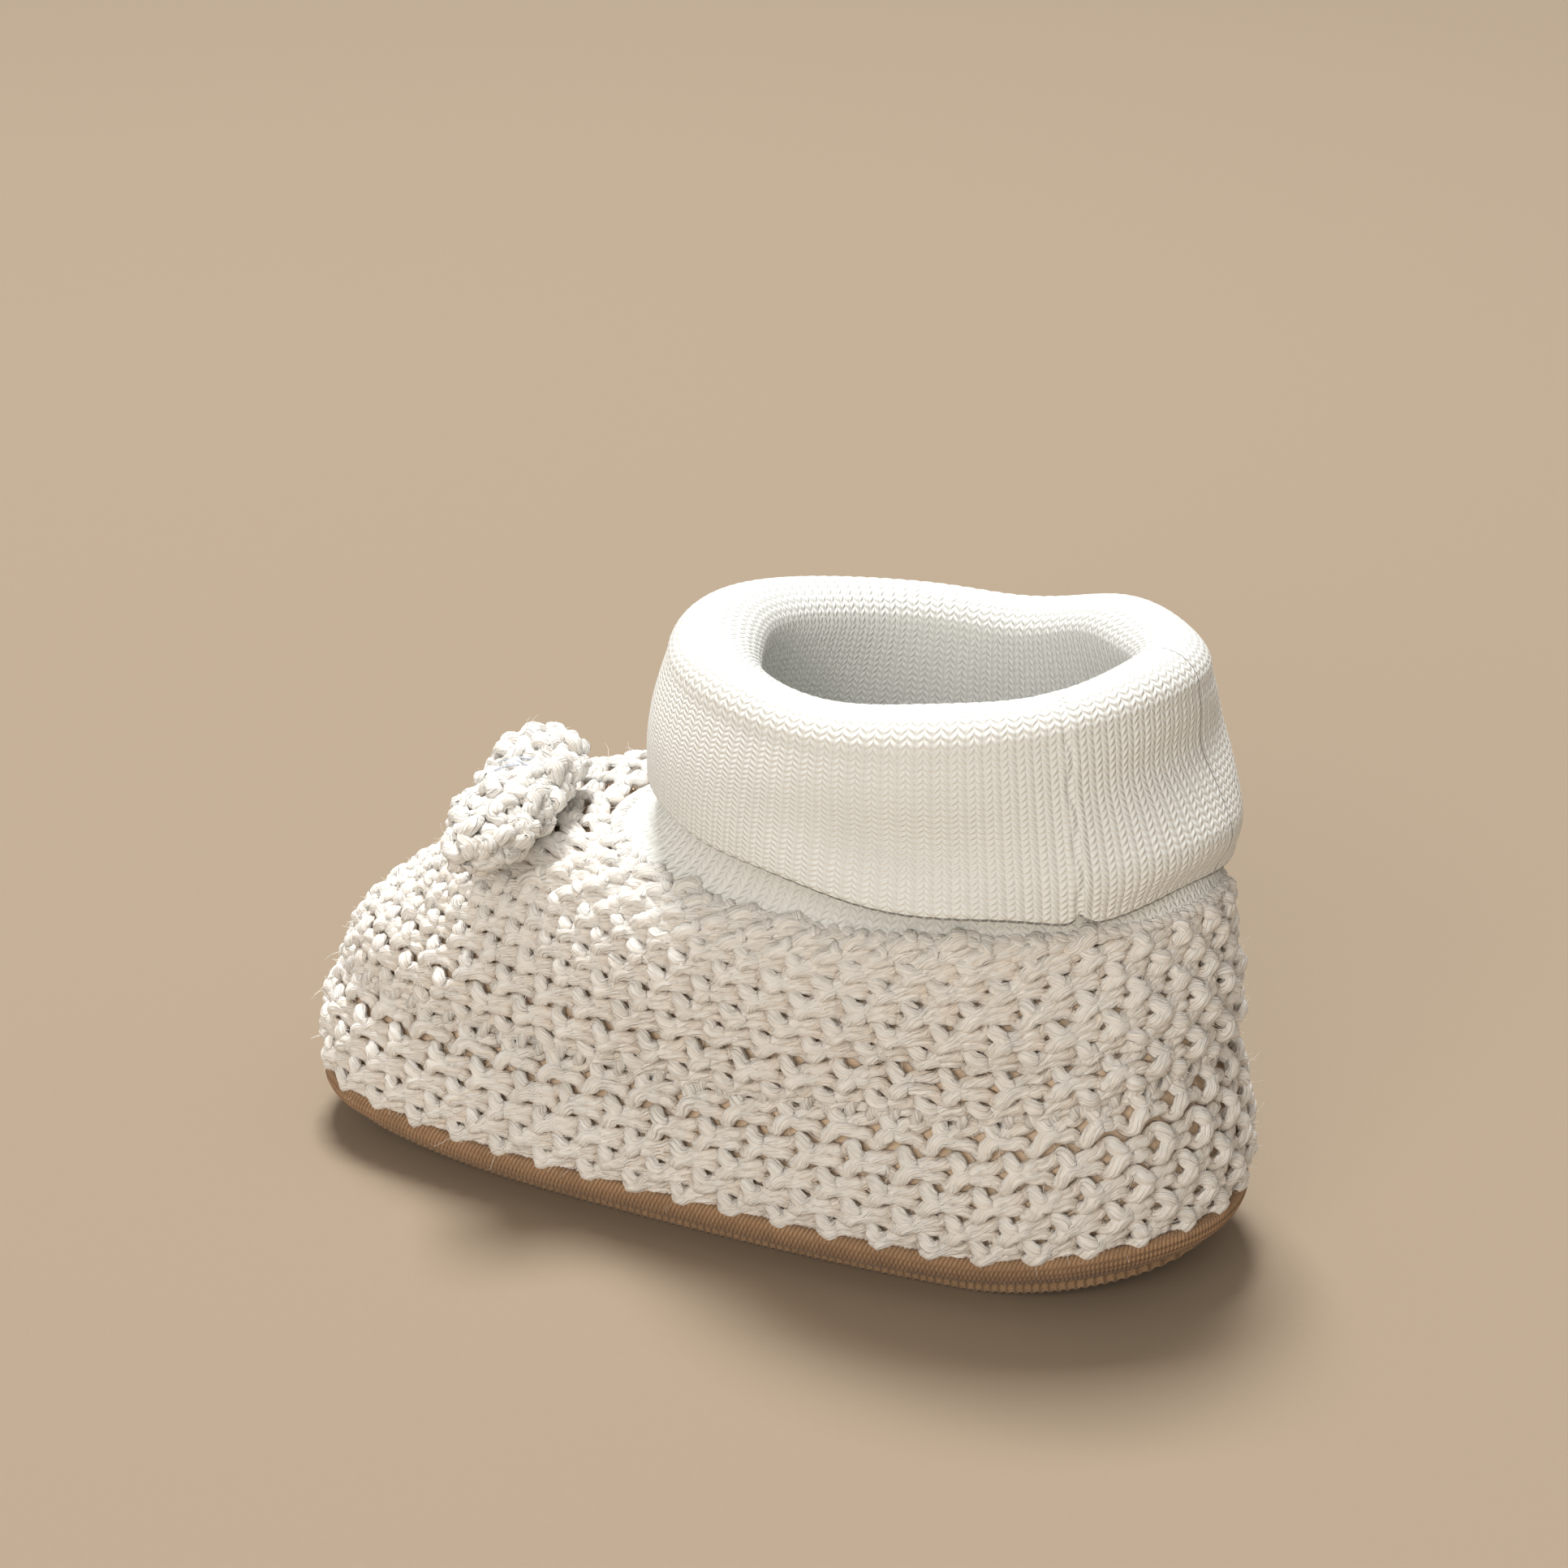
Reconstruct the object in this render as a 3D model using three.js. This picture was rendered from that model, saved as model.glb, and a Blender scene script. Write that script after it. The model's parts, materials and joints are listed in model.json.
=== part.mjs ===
// A knitted baby bootie: padded sole, chunky knit sidewall and upper, folded jersey cuff and
// a small knitted bow tacked to the instep. Millimetres, +Z up, toe towards -Y, heel towards
// +Y. The origin is on the floor under the middle of the shoe.
import * as THREE from 'three';

// ---- driving dimensions ------------------------------------------------------------------
const clearance = 0.3; // gap between pieces that touch on the real shoe
const seatRoom = 0.1; // added to it where a soft piece sits on the edge of the outsole

const soleLength = 102;
const heelRadius = 18.1;
const toeRadius = 22.6;
const toeFlat = 9.8; // half width of the blunt stretch across the toe
const toeEase = 0.1; // how softly that stretch turns into the sides
const waistBlend = 4;
const toeSpring = 1.4;
const toeSpringStart = 0.45; // share of the half length where the sole starts to lift
const heelSpring = 3.6;
const heelSpringStart = 0.55;

const outsoleThickness = 1.8;
const outsoleInset = 5.4;
const paddingThickness = 3.4;
const insoleThickness = 1.2;
const randHeight = 3.7;
const randThickness = 1;
const randTop = 4.6;
const randLip = 0.8; // inset of the rand's top edge
const randLap = 0.9; // from the rand's turned-in edge to the knit's inner face
const paddingEase = 1.2; // room between the padding's side and the knit
const insoleEase = 0.4; // room between the insole's edge and the lining

const knitThickness = 2.2;
const liningThickness = 0.7;
const liningEase = 1.2; // room between the knit and its lining, for the seam allowances
const liningFoot = 0.22; // the lining's edges, from the rand at 0 over the ridge at 1 to 2
const liningTop = 1.85;
const sidewallHeelHeight = 16;
const sidewallToeHeight = 14.3;
const sidewallInset = 0.5; // how far the sidewall's foot is inside the outline
const sidewallSwell = -0.2; // how far its middle is outside the outline
const sidewallFullest = 0.45; // share of its height where the swell is fullest
const ridgeInset = 2.8;
const ridgeSag = 2.8;
const backSeamPlace = 0.03; // share of the way round, so the seam is a little off the heel's middle
const ridgeGap = 1.5; // slot between sidewall and upper that holds the seam

const toplineSetback = 3.5; // from the end of the heel to the topline
const toplineHalfWidth = 17.4;
const toplineHalfLength = 30.5;
const toplineCentre = soleLength / 2 - toplineSetback - toplineHalfLength;
const toplineHeelHeight = 41.2;
const toplineInstepHeight = 39.4;
const toplineSideDip = 2.4;
const quarterSwell = 2.1;
const instepSwell = 5.2;
const swellRise = 1.15; // above 1, the swell is fullest nearer the topline
const swellLean = { side: 0.6, heel: 0.45, up: 0.1, instepUp: 0.87 }; // which way it swells

const cuffSetback = 7.2; // from the end of the heel to the cuff's fold
const cuffHalfWidth = 20.8;
const cuffHalfLength = 27.5;
const cuffCentre = soleLength / 2 - cuffSetback - cuffHalfLength;
const cuffHeelHeight = 64.4;
const cuffInstepHeight = 61.6;
const cuffSideDip = 2.8;
const turnUpHeelFoot = 42.4;
const turnUpInstepFoot = 44.9;
const turnUpFlare = 2.8;
const turnUpDrift = 0.8; // how much nearer the heel the turn-up's foot is than its fold
const cuffCloth = 1.9; // the jersey is doubled, so this is two layers
const cuffFold = 7; // width of the fold at the top, over both walls
const neckSeat = 0.6; // how far the neck stands inside the knit's face
const cuffSeamPlace = 0.115; // share of the way round from the heel

const bowLength = 22;
const bowDepth = 10.5;
const bowThickness = 8.4;
const bowLift = 0.9; // how far the loops rise from the tied waist
const bowWaist = 2; // radius where the wrap ties it in
const bowWrapWidth = 3;
const bowWrapThickness = 1;
const bowPlace = 0.69; // from the ridge at 0 to the topline at 1
const bowSide = 0.435; // share of the way round from the heel, 0.5 being straight ahead
const bowTwist = -4; // degrees that the bow is turned on the instep
const bowTilt = 1; // degrees that its near loop hangs
const bowTipRise = 0.3; // how far the loops' tips stand above the bow's axis
const bowShank = 0.6; // thread between knit and wrap
const threadRadius = 0.6;

const stepsRound = 44;
const outlineSteps = 720;
const loopSteps = 14;
const wrapSteps = 18;
const tackSteps = 8;

// ---- finishes ----------------------------------------------------------------------------
const cream = { color: 0xefe9df, roughness: 0.92, metalness: 0 };
const white = { color: 0xf0f0ea, roughness: 0.85, metalness: 0 };
const tan = { color: 0xb08a63, roughness: 0.95, metalness: 0 };
const wadding = { color: 0xe8e4da, roughness: 1, metalness: 0 };
const clearThread = { color: 0xcfd6e6, roughness: 0.25, metalness: 0 };

// ---- the outline of the sole, seen from above ----------------------------------------------
const turn = 2 * Math.PI;
const smoothStep = (t) => {
  const c = Math.min(1, Math.max(0, t));
  return c * c * (3 - 2 * c);
};
const mix = (a, b, t) => a + (b - a) * t;
const between = (a, b, t) => a.map((value, k) => mix(value, b[k], t));

// How far the outline reaches in the direction of an angle, 0 being towards the heel: a round
// heel and a blunter toe, joined by a soft maximum. Growing the outline adds to this reach.
function reach(angle) {
  const side = Math.hypot(Math.sin(angle), toeEase) - toeEase;
  const heel = heelRadius + (soleLength / 2 - heelRadius) * Math.cos(angle);
  const toeReach = soleLength / 2 - toeRadius + toeFlat;
  const toe = toeRadius - toeFlat + toeFlat * side - toeReach * Math.cos(angle);
  const most = Math.max(heel, toe);
  const share = Math.exp((heel - most) / waistBlend) + Math.exp((toe - most) / waistBlend);
  return most + waistBlend * Math.log(share);
}

function outlineTable(count) {
  const table = [];
  const step = 1e-4;
  for (let i = 0; i <= count; i += 1) {
    const angle = (turn * i) / count;
    const r = reach(angle);
    const slope = (reach(angle + step) - reach(angle - step)) / (2 * step);
    const nx = Math.sin(angle);
    const ny = Math.cos(angle);
    table.push({ x: r * nx + slope * ny, y: r * ny - slope * nx, nx, ny, along: 0 });
  }
  for (let i = 1; i <= count; i += 1) {
    const a = table[i - 1];
    const b = table[i];
    b.along = a.along + Math.hypot(b.x - a.x, b.y - a.y);
  }
  return table;
}
const outline = outlineTable(outlineSteps);

// A point of the outline at a share u of the way round from the heel, grown by a distance.
function outlinePoint(u, grow) {
  const whole = outline[outline.length - 1].along;
  const along = (u - Math.floor(u)) * whole;
  let i = 1;
  while (outline[i].along < along) i += 1;
  const a = outline[i - 1];
  const b = outline[i];
  const t = (along - a.along) / (b.along - a.along);
  const nx = mix(a.nx, b.nx, t);
  const ny = mix(a.ny, b.ny, t);
  return [mix(a.x, b.x, t) + grow * nx, mix(a.y, b.y, t) + grow * ny];
}

// The sole lifts off the floor a little under the toe and at the back of the heel.
function springAt(y) {
  const half = soleLength / 2;
  const lift = (along, start) => smoothStep((along / half - start) / (1 - start));
  return toeSpring * lift(-y, toeSpringStart) + heelSpring * lift(y, heelSpringStart);
}

// ---- the outer surface of the knit -------------------------------------------------------
// u runs round from the heel, v from the rand (0) over the ridge (1) to the topline (2).
const forward = (u) => (1 - Math.cos(turn * u)) / 2; // 0 at the heel, 1 at the toe

function sidewallFoot(u) {
  const [x, y] = outlinePoint(u, -sidewallInset);
  return [x, y, randTop + clearance + springAt(y)];
}

function ridgePoint(u) {
  const [x, y] = outlinePoint(u, -ridgeInset);
  const height = mix(sidewallHeelHeight, sidewallToeHeight, smoothStep(forward(u)));
  const foot = sidewallFoot(u)[2];
  return [x, y, foot + height - ridgeSag * Math.sin(turn * u) ** 2];
}

function toplinePoint(u) {
  const s = Math.sin(turn * u);
  const height = mix(toplineHeelHeight, toplineInstepHeight, forward(u)) - toplineSideDip * s * s;
  return [toplineHalfWidth * s, toplineCentre + toplineHalfLength * Math.cos(turn * u), height];
}

function knitPoint(u, v) {
  const foot = sidewallFoot(u);
  const ridge = ridgePoint(u);
  if (v <= 1) {
    const [x, y] = outlinePoint(u, sidewallSwell);
    const middle = [x, y, mix(foot[2], ridge[2], sidewallFullest)];
    return foot.map((f, k) => {
      const control = 2 * middle[k] - (f + ridge[k]) / 2;
      return (1 - v) ** 2 * f + 2 * v * (1 - v) * control + v * v * ridge[k];
    });
  }
  const t = v - 1;
  const top = toplinePoint(u);
  const rise = t ** swellRise;
  const swell = 4 * rise * (1 - rise) * mix(quarterSwell, instepSwell, smoothStep(forward(u)));
  const lean = [
    swellLean.side * Math.sin(turn * u),
    swellLean.heel * Math.cos(turn * u),
    swellLean.up + swellLean.instepUp * forward(u),
  ];
  return ridge.map((r, k) => mix(r, top[k], t) + lean[k] * swell);
}

function knitNormal(u, v) {
  const du = 0.004;
  const dv = 0.06;
  const along = new THREE.Vector3(...knitPoint(u + du, v));
  along.sub(new THREE.Vector3(...knitPoint(u - du, v)));
  const up = new THREE.Vector3(...knitPoint(u, Math.min(2, v + dv)));
  up.sub(new THREE.Vector3(...knitPoint(u, Math.max(0, v - dv))));
  return up.cross(along).normalize();
}

function knitDepth(u, v, depth) {
  const n = knitNormal(u, v);
  const [x, y, z] = knitPoint(u, v);
  return [x - n.x * depth, y - n.y * depth, z - n.z * depth];
}

// ---- solids ------------------------------------------------------------------------------
const squareCorners = [[-1, -1], [1, -1], [1, 1], [-1, 1]];

function closedMesh(name, vertices, triangles, finish) {
  const geometry = new THREE.BufferGeometry();
  geometry.setAttribute('position', new THREE.Float32BufferAttribute(vertices.flat(), 3));
  let volume = 0;
  for (const [a, b, c] of triangles) {
    const va = new THREE.Vector3(...vertices[a]);
    const vb = new THREE.Vector3(...vertices[b]);
    volume += va.dot(vb.cross(new THREE.Vector3(...vertices[c])));
  }
  const facingOut = volume > 0 ? triangles : triangles.map(([a, b, c]) => [a, c, b]);
  geometry.setIndex(facingOut.flat());
  geometry.computeVertexNormals();
  const mesh = new THREE.Mesh(geometry, new THREE.MeshStandardMaterial(finish));
  mesh.name = name;
  return mesh;
}

// A ring right round the shoe: section(u) gives the corners of its section.
function ringSolid(name, section, finish, steps = stepsRound) {
  const vertices = [];
  const triangles = [];
  const count = section(0).length;
  for (let i = 0; i < steps; i += 1) vertices.push(...section(i / steps));
  for (let i = 0; i < steps; i += 1) {
    for (let j = 0; j < count; j += 1) {
      const a = i * count + j;
      const b = i * count + ((j + 1) % count);
      const c = ((i + 1) % steps) * count + j;
      const d = ((i + 1) % steps) * count + ((j + 1) % count);
      triangles.push([a, b, d], [a, d, c]);
    }
  }
  return closedMesh(name, vertices, triangles, finish);
}

// A bar with four-cornered sections: section(t) gives the corners at a share of its length.
function stripSolid(name, rows, section, finish) {
  const vertices = [];
  const triangles = [];
  for (let k = 0; k <= rows; k += 1) vertices.push(...section(k / rows));
  for (let k = 0; k < rows; k += 1) {
    for (let j = 0; j < 4; j += 1) {
      const a = 4 * k + j;
      const b = 4 * k + ((j + 1) % 4);
      triangles.push([a, b, b + 4], [a, b + 4, a + 4]);
    }
  }
  const top = 4 * rows;
  triangles.push([0, 2, 1], [0, 3, 2], [top, top + 1, top + 2], [top, top + 2, top + 3]);
  return closedMesh(name, vertices, triangles, finish);
}

// A solid with rings between two end points, like a barrel: ring(k, u) gives a point.
function spindleSolid(name, ends, ringCount, ring, finish, steps = stepsRound) {
  const vertices = [...ends];
  const triangles = [];
  const at = (k, i) => 2 + k * steps + (i % steps);
  for (let k = 0; k < ringCount; k += 1) {
    for (let i = 0; i < steps; i += 1) vertices.push(ring(k, i / steps));
  }
  for (let i = 0; i < steps; i += 1) {
    triangles.push([0, at(0, i + 1), at(0, i)]);
    triangles.push([1, at(ringCount - 1, i), at(ringCount - 1, i + 1)]);
    for (let k = 0; k + 1 < ringCount; k += 1) {
      triangles.push([at(k, i), at(k, i + 1), at(k + 1, i + 1)]);
      triangles.push([at(k, i), at(k + 1, i + 1), at(k + 1, i)]);
    }
  }
  return closedMesh(name, vertices, triangles, finish);
}

// A flat pad of the sole. Its edge is a list of [inset, height] from the under face to the top
// face, and both faces step inwards at the same places, so that stacked pads stay parallel.
function solePad(name, edge, finish) {
  const inward = [0.4, 0.75];
  const foot = edge[0][1];
  const top = edge[edge.length - 1][1];
  const rows = [
    ...inward.map((share) => [share, outsoleInset, foot]),
    ...edge.map(([inset, height]) => [1, inset, height]),
    ...inward.map((share) => [share, outsoleInset, top]).reverse(),
  ];
  const ends = [[0, 0, foot + springAt(0)], [0, 0, top + springAt(0)]];
  const ring = (k, u) => {
    const [share, inset, height] = rows[k];
    const [x, y] = outlinePoint(u, -inset);
    return [share * x, share * y, height + springAt(share * y)];
  };
  return spindleSolid(name, ends, rows.length, ring, finish);
}

// ---- sole --------------------------------------------------------------------------------
function makeOutsole() {
  const round = outsoleThickness / 3;
  return solePad('outsole', [
    [outsoleInset + round, 0],
    [outsoleInset, round],
    [outsoleInset + round / 2, outsoleThickness],
  ], tan);
}

function makeSoleRand() {
  const foot = randTop - randHeight;
  const under = outsoleInset - clearance - seatRoom;
  const lapped = sidewallInset + knitThickness - randLap;
  const bend = (inset, share) => [inset, foot + randHeight * share];
  // outer face from the outsole up to the knit, then the inner face back down
  const outer = [[under, foot], bend(3, 0.135), bend(1.5, 0.38), [randLip, randTop]];
  const inner = [[lapped, randTop], bend(2.6, 0.515), [under, foot + randThickness]];
  return ringSolid('sole_rand', (u) => [...outer, ...inner].map(([inset, height]) => {
    const [x, y] = outlinePoint(u, -inset);
    return [x, y, height + springAt(y)];
  }), tan);
}

const paddingFoot = outsoleThickness + clearance + seatRoom;
const insoleFoot = paddingFoot + paddingThickness + 2 * clearance;

function makeSolePadding() {
  const top = paddingFoot + paddingThickness;
  const edge = sidewallInset + knitThickness + 2 * clearance + paddingEase;
  const lowBevel = 1.1;
  const highBevel = 0.9;
  return solePad('sole_padding', [
    [outsoleInset, paddingFoot],
    [edge, paddingFoot + lowBevel],
    [edge, top - highBevel],
    [edge + highBevel, top],
  ], wadding);
}

function makeInsole() {
  const liningInset = sidewallInset + knitThickness + liningEase + liningThickness;
  const edge = liningInset + clearance + insoleEase;
  return solePad('insole', [
    [edge, insoleFoot],
    [edge, insoleFoot + insoleThickness],
  ], white);
}

// ---- knit panels and lining ----------------------------------------------------------------
function panelSection(u, from, to, rows, outer, inner) {
  const points = [];
  for (let k = 0; k <= rows; k += 1) points.push(knitDepth(u, mix(from, to, k / rows), outer));
  for (let k = rows; k >= 0; k -= 1) points.push(knitDepth(u, mix(from, to, k / rows), inner));
  return points;
}

// The share of a panel that half the slot at the ridge takes up, at a place round the shoe.
function slotShare(u, farEdge) {
  const ridge = new THREE.Vector3(...knitPoint(u, 1));
  return ridgeGap / 2 / ridge.distanceTo(new THREE.Vector3(...knitPoint(u, farEdge)));
}

function makeKnitSidewall() {
  const section = (u) => panelSection(u, 0, 1 - slotShare(u, 0), 4, 0, knitThickness);
  return ringSolid('knit_sidewall', section, cream);
}

function makeKnitUpper() {
  const section = (u) => panelSection(u, 1 + slotShare(u, 2), 2, 7, 0, knitThickness);
  return ringSolid('knit_upper', section, cream);
}

function makeUpperLining() {
  const near = knitThickness + liningEase;
  const far = near + liningThickness;
  const section = (u) => panelSection(u, liningFoot, liningTop, 9, near, far);
  return ringSolid('upper_lining', section, white);
}

// A square section of thread or seam allowance at a depth below the knit's outer surface.
function seamSection(u, v, depth, halfDepth, halfHeight) {
  const n = knitNormal(u, v);
  const up = new THREE.Vector3(0, 0, 1);
  up.addScaledVector(n, -up.dot(n)).normalize();
  const centre = new THREE.Vector3(...knitPoint(u, v)).addScaledVector(n, -depth);
  return squareCorners.map(([a, b]) => {
    const p = centre.clone().addScaledVector(n, a * halfDepth);
    p.addScaledVector(up, b * halfHeight);
    return p.toArray();
  });
}

// The heel seam's allowance stands on the inside of the upper, between knit and lining.
function makeBackSeam() {
  const halfWidth = 1.5;
  const depth = knitThickness + liningEase / 2;
  const halfDepth = liningEase / 2 - clearance;
  const foot = 1.12; // its ends, counted like the lining's edges
  const head = 1.8;
  return stripSolid('back_seam', 6, (t) => {
    const v = mix(foot, head, t);
    const along = new THREE.Vector3(0, 0, 1).cross(knitNormal(backSeamPlace, v)).normalize();
    return squareCorners.map(([a, b]) => {
      const p = new THREE.Vector3(...knitDepth(backSeamPlace, v, depth + b * halfDepth));
      return p.addScaledVector(along, a * halfWidth).toArray();
    });
  }, cream);
}

function makeToplineSeam() {
  const depth = knitThickness + liningEase / 2;
  const halfDepth = liningEase / 2 - clearance;
  const halfHeight = 0.35;
  const place = 1.965; // just under the knit's top edge at 2
  return ringSolid('topline_seam', (u) => seamSection(u, place, depth, halfDepth, halfHeight), cream);
}

// The allowance of the seam between sole and sidewall lies behind the knit's foot.
function makeSoleSeam() {
  const inset = sidewallInset + knitThickness + 3 * clearance;
  const half = 0.4;
  const height = randTop + clearance / 2;
  return ringSolid('sole_seam', (u) => squareCorners.map(([a, b]) => {
    const [x, y] = outlinePoint(u, -inset + a * half);
    return [x, y, height + b * half + springAt(y)];
  }), cream);
}

// The ridge seam fills the middle of the slot, so its corners lie between the two panels' edges.
function makeRidgeSeam() {
  const cover = 0.2; // how deep the seam lies between the panels' faces
  const free = 0.23; // share of the slot left open on each side of it
  const corners = [[cover, free], [knitThickness - cover, free]];
  corners.push([knitThickness - cover, 1 - free], [cover, 1 - free]);
  return ringSolid('ridge_seam', (u) => corners.map(([depth, share]) => {
    const low = knitDepth(u, 1 - slotShare(u, 0), depth);
    const high = knitDepth(u, 1 + slotShare(u, 2), depth);
    return between(low, high, share);
  }), cream);
}

// ---- cuff --------------------------------------------------------------------------------
// A level of the cuff: the ellipse and the height at a place round the shoe.
function cuffPoint(u, grow, back, front, dip) {
  const c = Math.cos(turn * u);
  const s = Math.sin(turn * u);
  const height = mix(back, front, forward(u)) - dip * s * s;
  return [(cuffHalfWidth + grow) * s, cuffCentre + (cuffHalfLength + grow) * c, height];
}

const foldRadius = cuffFold / 2;

function foldPoint(u, grow, drop) {
  return cuffPoint(u, grow, cuffHeelHeight - drop, cuffInstepHeight - drop, cuffSideDip);
}

// The turn-up from the fold (t = 0) down to its foot, at a depth below its outer face.
function turnUpPoint(u, t, depth) {
  const [x, y, z] = cuffPoint(u, turnUpFlare - depth, turnUpHeelFoot, turnUpInstepFoot, 0);
  return between(foldPoint(u, -depth, foldRadius), [x, y + turnUpDrift, z], t);
}

// The neck from the fold (t = 0) down to the topline. It stands on the knit's edge, a little
// inside the knit's face, and its depth is counted from the face that the turn-up hides.
function neckPoint(u, t, depth) {
  const grow = -neckSeat - depth;
  const x = (toplineHalfWidth + grow) * Math.sin(turn * u);
  const y = toplineCentre + (toplineHalfLength + grow) * Math.cos(turn * u);
  const foot = [x, y, toplinePoint(u)[2] + clearance];
  return between(foldPoint(u, cuffCloth - cuffFold - depth, foldRadius), foot, t);
}

function cuffSection(u) {
  const rows = 4;
  const foldRows = 6;
  const hollow = foldRadius - cuffCloth;
  const points = [];
  for (let k = rows; k > 0; k -= 1) points.push(turnUpPoint(u, k / rows, 0));
  for (let k = 0; k <= foldRows; k += 1) {
    const angle = (Math.PI * k) / foldRows;
    const grow = foldRadius * (Math.cos(angle) - 1);
    points.push(foldPoint(u, grow, foldRadius * (1 - Math.sin(angle))));
  }
  for (let k = 1; k <= rows; k += 1) points.push(neckPoint(u, k / rows, cuffCloth));
  for (let k = rows; k >= 1; k -= 1) points.push(neckPoint(u, k / rows, 0));
  for (let k = foldRows; k >= 0; k -= 2) {
    const angle = (Math.PI * k) / foldRows;
    points.push(foldPoint(u, hollow * Math.cos(angle) - foldRadius, foldRadius - hollow * Math.sin(angle)));
  }
  for (let k = 1; k <= rows; k += 1) points.push(turnUpPoint(u, k / rows, cuffCloth));
  return points;
}

function makeAnkleCuff() {
  return ringSolid('ankle_cuff', cuffSection, white);
}

// The allowance of the cuff's side seam lies inside the fold, halfway between its two walls.
function makeCuffSeam() {
  const u = cuffSeamPlace;
  const halfWidth = 1.2;
  const halfDepth = (foldRadius - cuffCloth - clearance) / 2;
  const fold = foldPoint(u, 0, foldRadius)[2];
  const turnUpLength = fold - turnUpPoint(u, 1, 0)[2];
  const neckLength = fold - neckPoint(u, 1, 0)[2];
  const head = 0.1; // its ends, as shares of the turn-up's height
  const foot = 0.7;
  return stripSolid('cuff_seam', 5, (share) => {
    const t = mix(head, foot, share);
    const outer = turnUpPoint(u, t, cuffCloth);
    const inner = neckPoint(u, (t * turnUpLength) / neckLength, 0);
    const centre = new THREE.Vector3(...between(outer, inner, 0.5));
    const out = new THREE.Vector3(outer[0] - inner[0], outer[1] - inner[1], 0).normalize();
    const side = new THREE.Vector3(out.y, -out.x, 0);
    return squareCorners.map(([a, b]) => {
      const p = centre.clone().addScaledVector(side, a * halfWidth);
      return p.addScaledVector(out, b * halfDepth).toArray();
    });
  }, white);
}

// ---- bow ---------------------------------------------------------------------------------
const bowSeat = new THREE.Vector3(...knitPoint(bowSide, 1 + bowPlace));
const bowNormal = knitNormal(bowSide, 1 + bowPlace);
const bowHeight = bowShank + 2 * clearance + bowWrapThickness + bowWaist;
const bowCentre = bowSeat.clone().addScaledVector(bowNormal, bowHeight);

// The bow's own axes: across the foot, along it, and away from the instep.
const bowAxes = new THREE.Matrix4();
{
  const forwardAxis = new THREE.Vector3(1, 0, 0).cross(bowNormal).normalize();
  const acrossAxis = bowNormal.clone().cross(forwardAxis).negate().normalize();
  const degrees = Math.PI / 180;
  const twist = new THREE.Matrix4().makeRotationAxis(bowNormal, bowTwist * degrees);
  const tilt = new THREE.Matrix4().makeRotationAxis(forwardAxis, bowTilt * degrees);
  bowAxes.makeBasis(acrossAxis, forwardAxis, bowNormal).premultiply(tilt).premultiply(twist);
  bowAxes.setPosition(bowCentre);
}

function bowPoint(across, along, away) {
  return new THREE.Vector3(across, along, away).applyMatrix4(bowAxes).toArray();
}

function makeBowLoops() {
  const half = bowLength / 2;
  const waist = (bowWrapWidth / 2 + clearance) / half; // the loops leave room for the wrap
  const stations = [-0.97, -0.82, -0.58, -0.34, -waist, waist, 0.34, 0.58, 0.82, 0.97];
  const girth = [0.45, 0.86, 1, 0.82, 0, 0, 0.82, 1, 0.86, 0.45];
  const ring = (k, u) => {
    const deep = mix(bowWaist, bowDepth / 2, girth[k]);
    const thick = mix(bowWaist, bowThickness / 2, girth[k]);
    const lift = bowLift * girth[k];
    const angle = turn * u;
    return bowPoint(stations[k] * half, deep * Math.cos(angle), thick * Math.sin(angle) + lift);
  };
  const ends = [bowPoint(-half, 0, bowTipRise), bowPoint(half, 0, bowTipRise)];
  return spindleSolid('bow_loops', ends, stations.length, ring, cream, loopSteps);
}

function makeBowWrap() {
  const inner = bowWaist + clearance;
  const outer = inner + bowWrapThickness;
  const near = 0.4 * bowWrapWidth; // the wrap narrows a little from its inside to its outside
  const far = 0.35 * bowWrapWidth;
  return ringSolid('bow_wrap', (u) => {
    const angle = turn * u;
    const corners = [[inner, -near], [outer, -far], [outer, far], [inner, near]];
    return corners.map(([r, across]) => bowPoint(across, r * Math.cos(angle), r * Math.sin(angle)));
  }, cream, wrapSteps);
}

// The thread that holds the bow: a short shank between the instep and the wrap.
function makeBowTack() {
  const side = new THREE.Vector3(1, 0, 0).cross(bowNormal).normalize();
  const other = bowNormal.clone().cross(side);
  const at = (a, b, away) => {
    const p = bowSeat.clone().addScaledVector(side, a).addScaledVector(other, b);
    return p.addScaledVector(bowNormal, away).toArray();
  };
  const top = clearance + bowShank;
  const rows = [clearance, (clearance + top) / 2, top];
  const girth = [1, 0.8, 1];
  const ring = (k, u) => {
    const r = threadRadius * girth[k];
    return at(r * Math.cos(turn * u), r * Math.sin(turn * u), rows[k]);
  };
  const ends = [at(0, 0, clearance), at(0, 0, top)];
  return spindleSolid('bow_tack', ends, rows.length, ring, clearThread, tackSteps);
}

// ---- the shoe ----------------------------------------------------------------------------
const bootie = new THREE.Group();
bootie.add(
  makeOutsole(),
  makeSoleRand(),
  makeSolePadding(),
  makeInsole(),
  makeKnitSidewall(),
  makeKnitUpper(),
  makeUpperLining(),
  makeSoleSeam(),
  makeRidgeSeam(),
  makeBackSeam(),
  makeToplineSeam(),
  makeAnkleCuff(),
  makeCuffSeam(),
  makeBowLoops(),
  makeBowWrap(),
  makeBowTack(),
);

export default bootie;
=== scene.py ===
import json
import math

import bpy
import numpy as np
from mathutils import Matrix, Vector


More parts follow.
